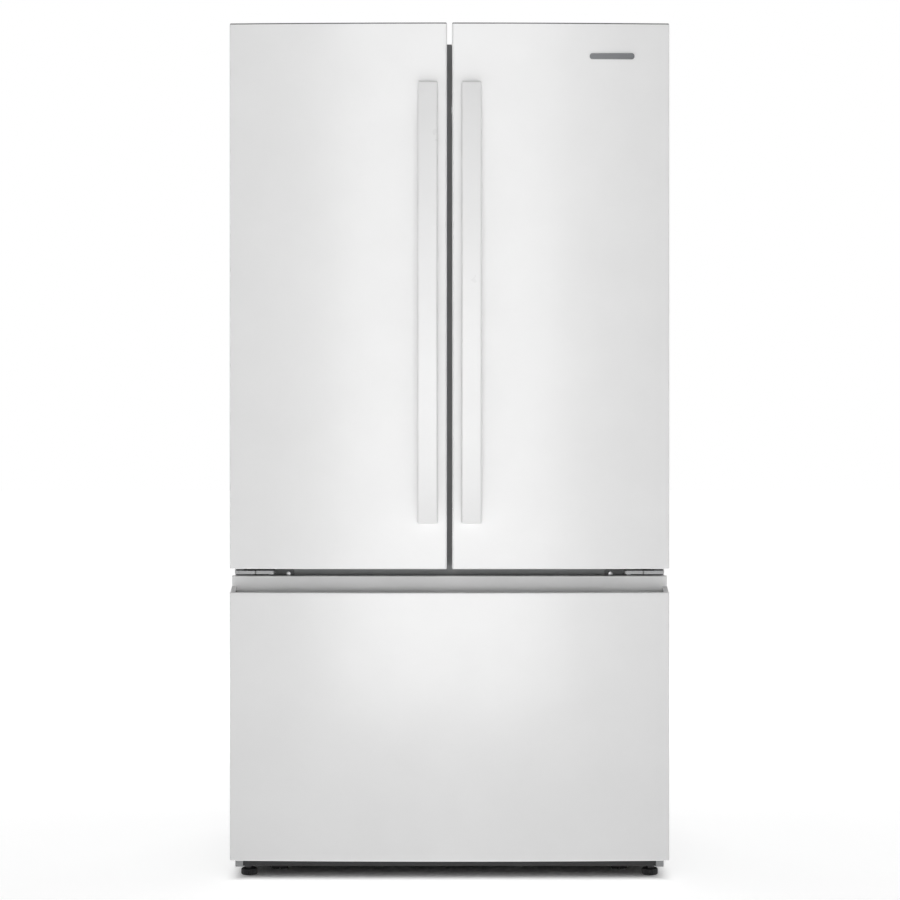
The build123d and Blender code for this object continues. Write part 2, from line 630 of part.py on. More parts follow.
BIN_X = (-DIKE_OUTER + DIKE_WIDTH + FIT, -DIKE_FREE_INSET - DIKE_WIDTH - FIT)
BIN_BOTTOM = FRIDGE_FLOOR + 26.0
BIN_PITCH = (FRIDGE_TOP - FRIDGE_FLOOR - 100) / 3
BIN_LEVELS = [BIN_BOTTOM + index * BIN_PITCH for index in range(3)]
with BuildPart() as left_door_bins:
    for level in BIN_LEVELS:
        door_bin(BIN_X, level)

# ---------------------------------------------------------------- right door
with BuildPart() as right_door_skin:
    mirror(left_door_skin.part, about=Plane.YZ)

with BuildPart() as right_door_caps:
    mirror(left_door_caps.part, about=Plane.YZ)

with BuildPart() as right_door_foam:
    mirror(left_door_foam.part, about=Plane.YZ)

with BuildPart() as plain_liner:
    door_liner()
    fillet(plain_liner.edges().filter_by(Axis.Z).group_by(Axis.Y)[-1], 8)

with BuildPart() as right_door_liner:
    mirror(plain_liner.part, about=Plane.YZ)

with BuildPart() as right_door_gasket:
    mirror(left_door_gasket.part, about=Plane.YZ)

with BuildPart() as right_door_handle:
    mirror(left_door_handle.part, about=Plane.YZ)

DAIRY_Z = FRIDGE_TOP - 205.0
DAIRY_HEIGHT = 90.0
LID = 3.0
LID_PIN = 2.5
LID_AXIS_Y = DOOR_REAR + 8.0
LID_AXIS_Z = DAIRY_Z + DAIRY_HEIGHT + 4.0
RIGHT_BIN_X = (-BIN_X[1], -BIN_X[0])
with BuildPart() as right_door_bins:
    for level in BIN_LEVELS[:2]:
        door_bin(RIGHT_BIN_X, level)
    door_bin(RIGHT_BIN_X, DAIRY_Z, DAIRY_HEIGHT)
    for x in (RIGHT_BIN_X[0], RIGHT_BIN_X[1] - 4):
        block((x, x + 4), (DOOR_REAR + FIT, DOOR_REAR + 16), (DAIRY_Z + 40, LID_AXIS_Z + 4))
        axle((x, x + 4), LID_AXIS_Y, LID_AXIS_Z, LID_PIN + PIN_CLEARANCE, Mode.SUBTRACT)

with BuildPart() as dairy_lid:
    block(
        (RIGHT_BIN_X[0] + 4.5, RIGHT_BIN_X[1] - 4.5),
        (LID_AXIS_Y, BIN_BACK + 2),
        (LID_AXIS_Z - LID / 2, LID_AXIS_Z + LID / 2),
    )
    axle((RIGHT_BIN_X[0], RIGHT_BIN_X[1]), LID_AXIS_Y, LID_AXIS_Z, LID_PIN)

BADGE_SIZE = (92.0, 12.0)
BADGE_INSET = 119.0  # badge centre from the right door's outer edge
BADGE_X = HALF_WIDTH - BADGE_INSET
BADGE_DROP = 69.0
BADGE_PROUD = 1.2
with BuildPart() as badge_plate:
    with BuildSketch(Plane.XZ.offset(-EDGE_Y)) as badge_outline:
        with Locations((BADGE_X, HEIGHT - BADGE_DROP)):
            RectangleRounded(*BADGE_SIZE, 5)
    extrude(badge_outline.sketch, amount=FRONT_BOW + 3)
    bowed_panel((-HALF_WIDTH, HALF_WIDTH), (DOOR_BOTTOM, HEIGHT), mode=Mode.SUBTRACT)
    front_skin = front_y(BADGE_X - BADGE_SIZE[0] / 2)
    block(
        (BADGE_X - BADGE_SIZE[0], BADGE_X + BADGE_SIZE[0]),
        (CROWN_Y - 20, front_skin - BADGE_PROUD),
        (DOOR_BOTTOM, HEIGHT),
        Mode.SUBTRACT,
    )

# ---------------------------------------------------------------- freezer drawer front
FULL_X = (-HALF_WIDTH, HALF_WIDTH)
POCKET_TRIM_X = (-HALF_WIDTH - LIP_THICKNESS + END_WALL, HALF_WIDTH + LIP_THICKNESS - END_WALL)
with BuildPart() as freezer_drawer_skin:
    bowed_panel(FULL_X, (DRAWER_BOTTOM, LIP_TOP), corner=CORNER_RADIUS)
    level_edges = [
        edge
        for edge in freezer_drawer_skin.edges().group_by(Axis.Z)[0]
        + freezer_drawer_skin.edges().group_by(Axis.Z)[-1]
        if edge.center().Y < EDGE_Y + CORNER_RADIUS
    ]
    fillet(level_edges, EDGE_RADIUS)
    bowed_panel(
        FULL_X,
        (DRAWER_BOTTOM + CAP, LIP_TOP - SKIN),
        inset=SKIN,
        back=DOOR_REAR + 1,
        corner=CORNER_RADIUS - SKIN,
        mode=Mode.SUBTRACT,
    )
    block(
        (-HALF_WIDTH - 1, HALF_WIDTH + 1),
        (EDGE_Y + LIP_THICKNESS, DOOR_REAR + 1),
        (LIP_TOP - SKIN - 0.5, LIP_TOP + 1),
        Mode.SUBTRACT,
    )
    bowed_panel(
        POCKET_TRIM_X,
        (LIP_TOP - SKIN - 0.5, LIP_TOP + 1),
        inset=LIP_THICKNESS,
        back=DOOR_REAR + 1,
        mode=Mode.SUBTRACT,
    )

with BuildPart() as freezer_drawer_pull:
    bowed_panel(
        FULL_X, (PULL_BOTTOM, LIP_TOP - SKIN), inset=SKIN, back=DOOR_REAR, corner=CORNER_RADIUS - SKIN
    )
    block(FULL_X, (POCKET_BACK, DOOR_REAR), (LIP_TOP - SKIN - 0.5, DRAWER_TOP))
    with BuildSketch(Plane.YZ.offset(-HALF_WIDTH)) as end_wall:
        with BuildLine():
            Polyline(
                (EDGE_Y + LIP_THICKNESS, LIP_TOP - SKIN - 0.5),
                (EDGE_Y + LIP_THICKNESS, LIP_TOP),
                (POCKET_BACK, LIP_TOP + END_WALL_RISE),
                (POCKET_BACK, LIP_TOP - SKIN - 0.5),
                close=True,
            )
        make_face()
    extrude(end_wall.sketch, amount=WIDTH)
    bowed_panel(
        POCKET_TRIM_X,
        (POCKET_FLOOR, DRAWER_TOP + 1),
        inset=LIP_THICKNESS,
        back=POCKET_BACK,
        mode=Mode.SUBTRACT,
    )

with BuildPart() as freezer_drawer_foam:
    bowed_panel(
        FULL_X,
        (DRAWER_BOTTOM + CAP, PULL_BOTTOM),
        inset=SKIN,
        back=DOOR_REAR - LINER,
        corner=CORNER_RADIUS - SKIN,
    )

RAIL_X = ROOM_HALF - 22.0  # inboard face of the drawer slides
RAIL_LAYER = 7.0
RAIL_GAP = 1.0
RAIL_Z = (FREEZER_TOP - 245.0, FREEZER_TOP - 205.0)
RAIL_Y = (FACE_Y + 43.0, ROOM_BACK - 125.0)
LEDGE_Z = (RAIL_Z[0] - 8, RAIL_Z[0] - 5)
LEDGE_REACH = 12.0
EMBOSS = 12.0  # the liner's raised middle
EMBOSS_MARGIN = 6.0
with BuildPart() as freezer_drawer_liner:
    block(
        (-HALF_WIDTH + SKIN, HALF_WIDTH - SKIN),
        (DOOR_REAR - LINER, DOOR_REAR),
        (DRAWER_BOTTOM + CAP, PULL_BOTTOM),
    )
    block(
        (-RAIL_X + EMBOSS_MARGIN, RAIL_X - EMBOSS_MARGIN),
        (DOOR_REAR, DOOR_REAR + EMBOSS),
        (FREEZER_FLOOR + 8, PULL_BOTTOM - 12),
    )
    fillet(freezer_drawer_liner.edges().filter_by(Axis.Z).group_by(Axis.Y)[-1], 6)

with BuildPart() as freezer_drawer_gasket:
    ring(
        (-PIN_X + 2, PIN_X - 2),
        (DOOR_REAR, GASKET_FACE),
        (FREEZER_BOTTOM - 31, RAIL_BOTTOM + 22),
        GASKET_WIDTH,
    )

# ---------------------------------------------------------------- freezer slides and baskets
with BuildPart() as drawer_rails_inner:
    for side in (-1, 1):
        block(side_limits(side, RAIL_X, RAIL_X + RAIL_LAYER), (DOOR_REAR, RAIL_Y[1]), RAIL_Z)
        block(side_limits(side, RAIL_X, RAIL_X + 3), (DOOR_REAR, RAIL_Y[1]), (LEDGE_Z[0], RAIL_Z[0]))
        block(side_limits(side, RAIL_X - LEDGE_REACH, RAIL_X), (DOOR_REAR + 30, HUMP_Y - 10), LEDGE_Z)

with BuildPart() as drawer_rails_middle:
    for side in (-1, 1):
        near = RAIL_X + RAIL_LAYER + RAIL_GAP
        block(side_limits(side, near, near + RAIL_LAYER), RAIL_Y, RAIL_Z)

UPPER_RAIL_Z = (FREEZER_TOP - 140.0, FREEZER_TOP - 128.0)
UPPER_BASKET_Z = (FREEZER_TOP - 185.0, FREEZER_TOP - 50.0)
UPPER_BASKET_Y = (FACE_Y + 133.0, ROOM_BACK - 85.0)
with BuildPart() as drawer_rails_outer:
    for side in (-1, 1):
        near = RAIL_X + 2 * (RAIL_LAYER + RAIL_GAP)
        block(side_limits(side, near, ROOM_HALF), RAIL_Y, RAIL_Z)
        block(side_limits(side, ROOM_HALF - 20, ROOM_HALF), (FACE_Y + 60, UPPER_BASKET_Y[1]), UPPER_RAIL_Z)

BASKET_WALL = 3.0
BASKET_HALF = RAIL_X - 16.0
BASKET_Y = (FACE_Y + 28.0, HUMP_Y - 20.0)
BASKET_Z = (FREEZER_FLOOR + 10.0, RAIL_Z[0])
with BuildPart() as freezer_basket:
    tub((-BASKET_HALF, BASKET_HALF), BASKET_Y, BASKET_Z, BASKET_WALL, 20)
    for side in (-1, 1):
        block(
            side_limits(side, BASKET_HALF - 1, RAIL_X - 1),
            (BASKET_Y[0] + 25, BASKET_Y[1] - 25),
            (LEDGE_Z[1] + FIT, BASKET_Z[1]),
        )

UPPER_HALF = ROOM_HALF - 30.0
with BuildPart() as upper_basket:
    tub((-UPPER_HALF, UPPER_HALF), UPPER_BASKET_Y, UPPER_BASKET_Z, BASKET_WALL, 20)
    for side in (-1, 1):
        block(
            side_limits(side, UPPER_HALF - 1, ROOM_HALF - 8),
            (UPPER_BASKET_Y[0] + 30, UPPER_BASKET_Y[1] - 10),
            (UPPER_RAIL_Z[1] + FIT, UPPER_RAIL_Z[1] + FIT + 6),
        )


# ---------------------------------------------------------------- shelves and crispers
SHELF_FRONT = FACE_Y + 153.0
SHELF_BACK = ROOM_BACK - 12.0
SHELF_THICKNESS = 14.0
SHELF_BORDER = 16.0
GLASS = 4.0
GLASS_SEAT = 8.0
DELI_Z = (FRIDGE_FLOOR + 14.0, FRIDGE_FLOOR + 120.0)
DECK_TOP = FRIDGE_FLOOR + 144.0
CRISPER_Z = (DECK_TOP + FIT, DECK_TOP + 170.0)
CRISPER_COVER_TOP = CRISPER_Z[1] + 22.0
SHELF_SPACE = (FRIDGE_TOP - 20 - CRISPER_COVER_TOP) / 3
SHELF_TOPS = (CRISPER_COVER_TOP + SHELF_SPACE, CRISPER_COVER_TOP + 2 * SHELF_SPACE)
CRISPER_Y = (FACE_Y + 218.0, ROOM_BACK - 20.0)
CENTER_GAP = 6.0
TRACK_DEPTH = 10.0

SHELVES = [((-ROOM_HALF + 4, ROOM_HALF - 4), top) for top in (DECK_TOP, CRISPER_COVER_TOP)]
for shelf_top in SHELF_TOPS:
    for side in (-1, 1):
        SHELVES.append((side_limits(side, CENTER_GAP, ROOM_HALF - 8), shelf_top))

with BuildPart() as shelf_frames:
    for x, top in SHELVES:
        block(x, (SHELF_FRONT, SHELF_BACK), (top - SHELF_THICKNESS, top))
        block(
            (x[0] + SHELF_BORDER, x[1] - SHELF_BORDER),
            (SHELF_FRONT + SHELF_BORDER, SHELF_BACK - SHELF_BORDER),
            (top - SHELF_THICKNESS - 1, top + 1),
            Mode.SUBTRACT,
        )
        block(
            (x[0] + GLASS_SEAT, x[1] - GLASS_SEAT),
            (SHELF_FRONT + GLASS_SEAT, SHELF_BACK - GLASS_SEAT),
            (top - GLASS, top + 1),
            Mode.SUBTRACT,
        )

with BuildPart() as glass_panes:
    for x, top in SHELVES:
        block(
            (x[0] + GLASS_SEAT + 0.2, x[1] - GLASS_SEAT - 0.2),
            (SHELF_FRONT + GLASS_SEAT + 0.2, SHELF_BACK - GLASS_SEAT - 0.2),
            (top - GLASS, top - 0.2),
        )

TRACK_X = (20.0, ROOM_HALF - 40.0)
TRACK_WIDTH = 16.0
TRACK_SLOT = (5.0, 14.0)
TRACK_PITCH = 40.0
with BuildPart() as shelf_tracks:
    for x in (-TRACK_X[1], -TRACK_X[0], TRACK_X[0], TRACK_X[1]):
        limits = (x - TRACK_WIDTH / 2, x + TRACK_WIDTH / 2)
        block(limits, (ROOM_BACK - TRACK_DEPTH, ROOM_BACK), (CRISPER_COVER_TOP + 20, FRIDGE_TOP - 40))
        slot_count = int((FRIDGE_TOP - CRISPER_COVER_TOP - 100) / TRACK_PITCH)
        slot_middle = (CRISPER_COVER_TOP + FRIDGE_TOP - 20) / 2
        for index in range(slot_count):
            slot_z = slot_middle + (index - (slot_count - 1) / 2) * TRACK_PITCH
            with Locations((x, ROOM_BACK - TRACK_DEPTH, slot_z)):
                Box(TRACK_SLOT[0], TRACK_DEPTH, TRACK_SLOT[1], mode=Mode.SUBTRACT)

CRISPER_WALL = 3.0
CRISPER_CORNER = 18.0
CRISPER_HALF = ROOM_HALF - 8.0
GRIP_REACH = 14.0
GRIP_HEIGHT = 6.0
GRIP_DROP = 20.0  # grip top below the rim


def drawer_tub(x, z, corner, grip_inset):
    """A clear drawer with a grip bar along its front."""
    tub(x, CRISPER_Y, z, CRISPER_WALL, corner)
    block(
        (x[0] + grip_inset, x[1] - grip_inset),
        (CRISPER_Y[0] - GRIP_REACH, CRISPER_Y[0] + 1),
        (z[1] - GRIP_DROP - GRIP_HEIGHT, z[1] - GRIP_DROP),
    )


with BuildPart() as left_crisper:
    drawer_tub((-CRISPER_HALF, -CENTER_GAP), CRISPER_Z, CRISPER_CORNER, 60)

with BuildPart() as right_crisper:
    mirror(left_crisper.part, about=Plane.YZ)

DELI_HALF = ROOM_HALF - 12.0
DELI_CORNER = 6.0
with BuildPart() as deli_drawer:
    drawer_tub((-DELI_HALF, DELI_HALF), DELI_Z, DELI_CORNER, 160)

PANEL_HALF = 120.0
PANEL_Y = (FACE_Y + 120.0, FACE_Y + 190.0)
PANEL_HEIGHT = 24.0
PANEL_CHAMFER = 4.0
BUTTON_HALF = (9.0, 5.0)
BUTTON_DEPTH = 6.0
BUTTON_PROUD = 1.5
BUTTON_GAP = 0.4
BUTTON_Z = FRIDGE_TOP - PANEL_HEIGHT / 2
with BuildPart() as control_panel:
    block((-PANEL_HALF, PANEL_HALF), PANEL_Y, (FRIDGE_TOP - PANEL_HEIGHT, FRIDGE_TOP))
    chamfer(control_panel.edges().filter_by(Axis.X).group_by(Axis.Z)[0], PANEL_CHAMFER)
    block(
        (-BUTTON_HALF[0] - BUTTON_GAP, BUTTON_HALF[0] + BUTTON_GAP),
        (PANEL_Y[0] - 1, PANEL_Y[0] + BUTTON_DEPTH),
        (BUTTON_Z - BUTTON_HALF[1] - BUTTON_GAP, BUTTON_Z + BUTTON_HALF[1] + BUTTON_GAP),
        Mode.SUBTRACT,
    )

with BuildPart() as temperature_button:
    block(
        (-BUTTON_HALF[0], BUTTON_HALF[0]),
        (PANEL_Y[0] - BUTTON_PROUD, PANEL_Y[0] - BUTTON_PROUD + BUTTON_DEPTH),
        (BUTTON_Z - BUTTON_HALF[1], BUTTON_Z + BUTTON_HALF[1]),
    )

LENS_HALF = (150.0, 55.0)
LENS_HEIGHT = 10.0
LENS_Y = FACE_Y + 300.0
with BuildPart() as light_lens:
    block(
        (-LENS_HALF[0], LENS_HALF[0]),
        (LENS_Y - LENS_HALF[1], LENS_Y + LENS_HALF[1]),
        (FRIDGE_TOP - LENS_HEIGHT, FRIDGE_TOP),
    )
    fillet(light_lens.edges().group_by(Axis.Z)[0], 4)

# ---------------------------------------------------------------- cooling system
COMPRESSOR_X = -CABINET_HALF + 190.0
MACHINE_MIDDLE = (MACHINE_Y + BACK_Y) / 2
PAN_TOP = BASE_TOP + SHEET
COMPRESSOR_RADIUS = 74.0
COMPRESSOR_Z = (PAN_TOP + 14, MACHINE_TOP - 22)
COMPRESSOR_ROUNDING = 32.0
COMPRESSOR_BASE = (95.0, 50.0, 6.0)  # half length, half depth and thickness
GROMMET = (80.0, 38.0)  # from the compressor's middle
GROMMET_RADIUS = 11.0
GROMMET_HEIGHT = 10.0
with BuildPart() as compressor:
    post(COMPRESSOR_X, MACHINE_MIDDLE, COMPRESSOR_Z, COMPRESSOR_RADIUS)
    fillet(compressor.edges().filter_by(GeomType.CIRCLE), COMPRESSOR_ROUNDING)
    base_z = PAN_TOP + GROMMET_HEIGHT
    block(
        (COMPRESSOR_X - COMPRESSOR_BASE[0], COMPRESSOR_X + COMPRESSOR_BASE[0]),
        (MACHINE_MIDDLE - COMPRESSOR_BASE[1], MACHINE_MIDDLE + COMPRESSOR_BASE[1]),
        (base_z, base_z + COMPRESSOR_BASE[2]),
    )
    for dx in (-GROMMET[0], GROMMET[0]):
        for dy in (-GROMMET[1], GROMMET[1]):
            post(COMPRESSOR_X + dx, MACHINE_MIDDLE + dy, (PAN_TOP, base_z), GROMMET_RADIUS)

COIL_X = (90.0, CABINET_HALF - 60.0)
COIL_Y = (MACHINE_MIDDLE - 80, MACHINE_MIDDLE + 80)
COIL_Z = (PAN_TOP + 8, MACHINE_TOP - 30)
COIL_TUBE = 4.0
FIN = 1.2
FIN_COUNT = 18
EVAPORATOR_FIN_COUNT = 30
COIL_ROWS = 4
COIL_FOOT = 20.0
TUBE_OVERHANG = 12.0


def finned_coil(x, y, z, fins, rows, layers):
    """Straight tubes along X through a row of upright fins."""
    pitch = (x[1] - x[0] - FIN) / (fins - 1)
    for index in range(fins):
        left = x[0] + index * pitch
        block((left, left + FIN), y, z)
    for row in range(rows):
        tube_y = y[0] + (row + 0.5) * (y[1] - y[0]) / rows
        for layer in range(layers):
            tube_z = z[0] + (layer + 0.5) * (z[1] - z[0]) / layers
            axle((x[0] - TUBE_OVERHANG, x[1] + TUBE_OVERHANG), tube_y, tube_z, COIL_TUBE)


with BuildPart() as condenser_coil:
    finned_coil(COIL_X, COIL_Y, COIL_Z, FIN_COUNT, COIL_ROWS, 3)
    for x in (COIL_X[0], COIL_X[1] - FIN):
        for y in (COIL_Y[0], COIL_Y[1] - COIL_FOOT):
            block((x, x + FIN), (y, y + COIL_FOOT), (PAN_TOP, COIL_Z[0]))

EVAPORATOR_X = (-ROOM_HALF + 60, ROOM_HALF - 60)
EVAPORATOR_Y = (ROOM_BACK - 62, ROOM_BACK - 6)
EVAPORATOR_Z = (HUMP_Z + LINER + 6, HUMP_Z + LINER + 120)
with BuildPart() as evaporator:
    finned_coil(EVAPORATOR_X, EVAPORATOR_Y, EVAPORATOR_Z, EVAPORATOR_FIN_COUNT, 2, 4)
    for x in (EVAPORATOR_X[0], EVAPORATOR_X[1] - FIN):
        block((x, x + FIN), EVAPORATOR_Y, (HUMP_Z + LINER, EVAPORATOR_Z[0]))

EVAP_COVER_Y = (ROOM_BACK - 72, ROOM_BACK - 69)
EVAP_FAN_Z = HUMP_Z + LINER + 200.0
EVAP_FAN_RADIUS = 48.0
with BuildPart() as evaporator_cover:
    block((-ROOM_HALF + 2, ROOM_HALF - 2), EVAP_COVER_Y, (HUMP_Z + LINER + 0.5, FREEZER_TOP - 0.5))
    with Locations((0, (EVAP_COVER_Y[0] + EVAP_COVER_Y[1]) / 2, EVAP_FAN_Z)):
        for index in range(9):
            with Locations((0, 0, (index - 4) * 9)):
                Box(84, 12, 4, mode=Mode.SUBTRACT)

CONDENSER_FAN_X = 40.0
CONDENSER_FAN_Z = (PAN_TOP + MACHINE_TOP) / 2
CONDENSER_FAN_RADIUS = 62.0
HUB_RADIUS = 16.0
MOTOR_RADIUS = 24.0
HUB_LENGTH = 16.0
BLADE_COUNT = 5
BLADE_PITCH = 30.0
BLADE_ROOT = 3.0  # the blades run this far into the hub
BLADE_SECTION = (26.0, 1.6)
SHAFT_RADIUS = 3.0
with BuildPart() as fan_motors:
    axle((-50, 4), MACHINE_MIDDLE, CONDENSER_FAN_Z, MOTOR_RADIUS)
    axle((4, CONDENSER_FAN_X + 8), MACHINE_MIDDLE, CONDENSER_FAN_Z, SHAFT_RADIUS)
    block((-40, -34), (MACHINE_MIDDLE - 30, MACHINE_MIDDLE + 30), (PAN_TOP, CONDENSER_FAN_Z))
    spindle(0, (ROOM_BACK - 26, ROOM_BACK), EVAP_FAN_Z, MOTOR_RADIUS)
    spindle(0, (ROOM_BACK - 52, ROOM_BACK - 26), EVAP_FAN_Z, SHAFT_RADIUS)


def fan(place, radius):
    """A fan about its place's Z axis: a hub with pitched blades and a running bore."""
    root = HUB_RADIUS - BLADE_ROOT
    with Locations(place):
        Cylinder(HUB_RADIUS, HUB_LENGTH)
        for index in range(BLADE_COUNT):
            turn = Location((0, 0, 0), (0, 0, 360 / BLADE_COUNT * index))
            with Locations(turn * Location(((radius + root) / 2, 0, 0), (BLADE_PITCH, 0, 0))):
                Box(radius - root, *BLADE_SECTION)
        Cylinder(SHAFT_RADIUS + PIN_CLEARANCE, 4 * HUB_LENGTH, mode=Mode.SUBTRACT)


with BuildPart() as condenser_fan_blade:
    fan(Location((CONDENSER_FAN_X, MACHINE_MIDDLE, CONDENSER_FAN_Z), (0, 90, 0)), CONDENSER_FAN_RADIUS)

with BuildPart() as evaporator_fan_blade:
    fan(Location((0, ROOM_BACK - 44, EVAP_FAN_Z), (90, 0, 0)), EVAP_FAN_RADIUS)

# ---------------------------------------------------------------- write every piece
PIECES = {
    "cabinet_shell": cabinet_shell,
    "back_panel": back_panel,
    "machine_cover": machine_cover,
    "cabinet_foam": cabinet_foam,
    "fridge_liner": fridge_liner,
    "freezer_liner": freezer_liner,
    "center_rail": center_rail,
    "base_frame": base_frame,
    "front_rollers": front_rollers,
    "rear_rollers": rear_rollers,
    "left_foot": left_foot,
    "right_foot": right_foot,
    "top_hinges": top_hinges,
    "center_hinges": center_hinges,
    "hinge_screws": hinge_screws,
    "hinge_covers": hinge_covers,
    "left_door_skin": left_door_skin,
    "left_door_caps": left_door_caps,
    "left_door_foam": left_door_foam,
    "left_door_liner": left_door_liner,
    "left_door_gasket": left_door_gasket,
    "left_door_handle": left_door_handle,
    "left_door_bins": left_door_bins,
    "left_door_edge_trim": left_door_edge_trim,
    "mullion_bar": mullion_bar,
    "right_door_skin": right_door_skin,
    "right_door_caps": right_door_caps,
    "right_door_foam": right_door_foam,
    "right_door_liner": right_door_liner,
    "right_door_gasket": right_door_gasket,
    "right_door_handle": right_door_handle,
    "right_door_bins": right_door_bins,
    "dairy_lid": dairy_lid,
    "badge_plate": badge_plate,
    "freezer_drawer_skin": freezer_drawer_skin,
    "freezer_drawer_pull": freezer_drawer_pull,
    "freezer_drawer_foam": freezer_drawer_foam,
    "freezer_drawer_liner": freezer_drawer_liner,
    "freezer_drawer_gasket": freezer_drawer_gasket,
    "freezer_basket": freezer_basket,
    "drawer_rails_inner": drawer_rails_inner,
    "drawer_rails_middle": drawer_rails_middle,
    "drawer_rails_outer": drawer_rails_outer,
    "upper_basket": upper_basket,
    "shelf_frames": shelf_frames,
    "glass_panes": glass_panes,
    "shelf_tracks": shelf_tracks,
    "left_crisper": left_crisper,
    "right_crisper": right_crisper,
    "deli_drawer": deli_drawer,
    "control_panel": control_panel,
    "temperature_button": temperature_button,
    "light_lens": light_lens,
    "compressor": compressor,
    "condenser_coil": condenser_coil,
    "evaporator": evaporator,
    "evaporator_cover": evaporator_cover,
    "fan_motors": fan_motors,
    "condenser_fan_blade": condenser_fan_blade,
    "evaporator_fan_blade": evaporator_fan_blade,
}

os.makedirs("parts", exist_ok=True)
for name, piece in PIECES.items():
    piece.part.label = name
    export_step(piece.part, f"parts/{name}.step")
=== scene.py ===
import math

import bmesh
import bpy
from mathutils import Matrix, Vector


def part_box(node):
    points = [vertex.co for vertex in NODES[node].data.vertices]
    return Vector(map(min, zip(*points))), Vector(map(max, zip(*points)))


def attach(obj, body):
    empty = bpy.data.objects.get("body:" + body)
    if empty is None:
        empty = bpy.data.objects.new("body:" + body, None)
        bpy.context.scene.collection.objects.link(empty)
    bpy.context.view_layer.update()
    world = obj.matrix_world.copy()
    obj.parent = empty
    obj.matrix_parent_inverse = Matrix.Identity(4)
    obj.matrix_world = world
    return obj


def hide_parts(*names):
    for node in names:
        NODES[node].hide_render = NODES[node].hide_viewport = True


# White french door refrigerator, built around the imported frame. Metres, +Z up, front faces -Y.
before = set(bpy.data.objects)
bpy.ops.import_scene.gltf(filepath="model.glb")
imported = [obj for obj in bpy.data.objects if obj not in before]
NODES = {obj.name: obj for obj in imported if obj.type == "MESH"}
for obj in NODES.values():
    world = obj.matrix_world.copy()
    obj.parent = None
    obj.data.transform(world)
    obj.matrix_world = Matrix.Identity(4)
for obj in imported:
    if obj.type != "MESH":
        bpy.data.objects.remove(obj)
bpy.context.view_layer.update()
MM = 0.001

# ------------------------------------------------------------------ sizes read from the frame
DRAWER_LOW, DRAWER_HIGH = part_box("freezer_drawer_skin")
DRAWER_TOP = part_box("freezer_drawer_pull")[1].z
DOOR_LOW, DOOR_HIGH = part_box("left_door_skin")
CAP_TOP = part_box("left_door_caps")[1].z
LINER_LOW, LINER_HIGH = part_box("fridge_liner")
SHELL_LOW, SHELL_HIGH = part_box("cabinet_shell")
HALF_WIDTH = DRAWER_HIGH.x
CROWN_Y = DRAWER_LOW.y
DOOR_REAR = DRAWER_HIGH.y
FACE_Y = SHELL_LOW.y

# ------------------------------------------------------------------ driving sizes of the looks
FRONT_BOW = 10 * MM  # how far the front's middle stands before its outer edges
BOW_RADIUS = (HALF_WIDTH**2 + FRONT_BOW**2) / (2 * FRONT_BOW)
BOW_CENTER_Y = CROWN_Y + BOW_RADIUS
EDGE_Y = CROWN_Y + FRONT_BOW
CORNER = 4 * MM  # upright corners of the skins
EDGE = 2.5 * MM  # level edges of the skins
SKIN_BACK = DOOR_REAR - 2 * MM
HINGE_PIN = (-HALF_WIDTH + 22 * MM, EDGE_Y + 26 * MM)  # the left door's hinge line in plan
PAST = 10 * MM  # how far a cutter reaches past what it cuts
ON_AXIS = 0.01 * MM  # radius of a turned part's points on its axis
TINY = 0.01 * MM  # the least rounding
PIN_RADIUS = 3.9 * MM
HANDLE_FOOT = 42 * MM
HANDLE_THICKNESS = 15 * MM
HANDLE_END_REACH = 24 * MM  # how far the handle's ends stand before the door's crown
HANDLE_FILLET = 8 * MM
PULL_DEPTH = 42 * MM  # from the drawer's lip down to the pocket's floor
PULL_REACH = 43 * MM  # from the front's outer edge back to the pocket's wall
WALL_GAP = 2 * MM  # the liner's wall inside its box
SHELF_THICKNESS = 14 * MM
DECK_RISE = 144 * MM  # the deli drawer's room
CRISPER_RISE = 192 * MM
SHEET = 1.2 * MM  # the back's steel as it is drawn


# ------------------------------------------------------------------ materials
def shader_of(mat):
    """The material's principled shader."""
    return mat.node_tree.nodes["Principled BSDF"]


def link(mat, output, socket):
    """Joins an output to an input in the material's nodes."""
    mat.node_tree.links.new(output, socket)


def material(name, color, roughness=0.4, metallic=0.0, **sockets):
    """A principled material; sockets are extra inputs set on the shader itself."""
    mat = bpy.data.materials.new(name)
    mat.use_nodes = True
    shader = shader_of(mat)
    shader.inputs["Base Color"].default_value = (*color, 1)
    shader.inputs["Roughness"].default_value = roughness
    shader.inputs["Metallic"].default_value = metallic
    for key, value in sockets.items():
        shader.inputs[key.replace("_", " ")].default_value = value
    return mat


def node(mat, kind, **values):
    """A node of this kind whose named inputs or properties are set."""
    made = mat.node_tree.nodes.new(kind)
    for key, value in values.items():
        if key in made.inputs:
            made.inputs[key].default_value = value
        else:
            setattr(made, key, value)
    return made


def mapped(mat, stretch=(1, 1, 1)):
    """Object coordinates in metres, stretched along the axes."""
    coords = node(mat, "ShaderNodeTexCoord")
    mapping = node(mat, "ShaderNodeMapping")
    mapping.inputs["Scale"].default_value = stretch
    link(mat, coords.outputs["Object"], mapping.inputs["Vector"])
    return mapping.outputs["Vector"]


def noise(mat, scale, detail, stretch=(1, 1, 1)):
    """A noise texture's value output; scale is in features per metre."""
    texture = node(mat, "ShaderNodeTexNoise", Scale=scale, Detail=detail)
    link(mat, mapped(mat, stretch), texture.inputs["Vector"])
    return texture.outputs["Fac"]


def ramp(mat, value, stops):
    """A colour ramp over the value, from (position, colour) stops."""
    made = node(mat, "ShaderNodeValToRGB")
    elements = made.color_ramp.elements
    while len(elements) < len(stops):
        elements.new(0.5)
    for element, (position, color) in zip(elements, stops):
        element.position = position
        element.color = (*color, 1)
    link(mat, value, made.inputs["Fac"])
    return made.outputs["Color"]


def tint(color, factor):
    """The colour made lighter or darker."""
    return tuple(min(1.0, channel * factor) for channel in color)


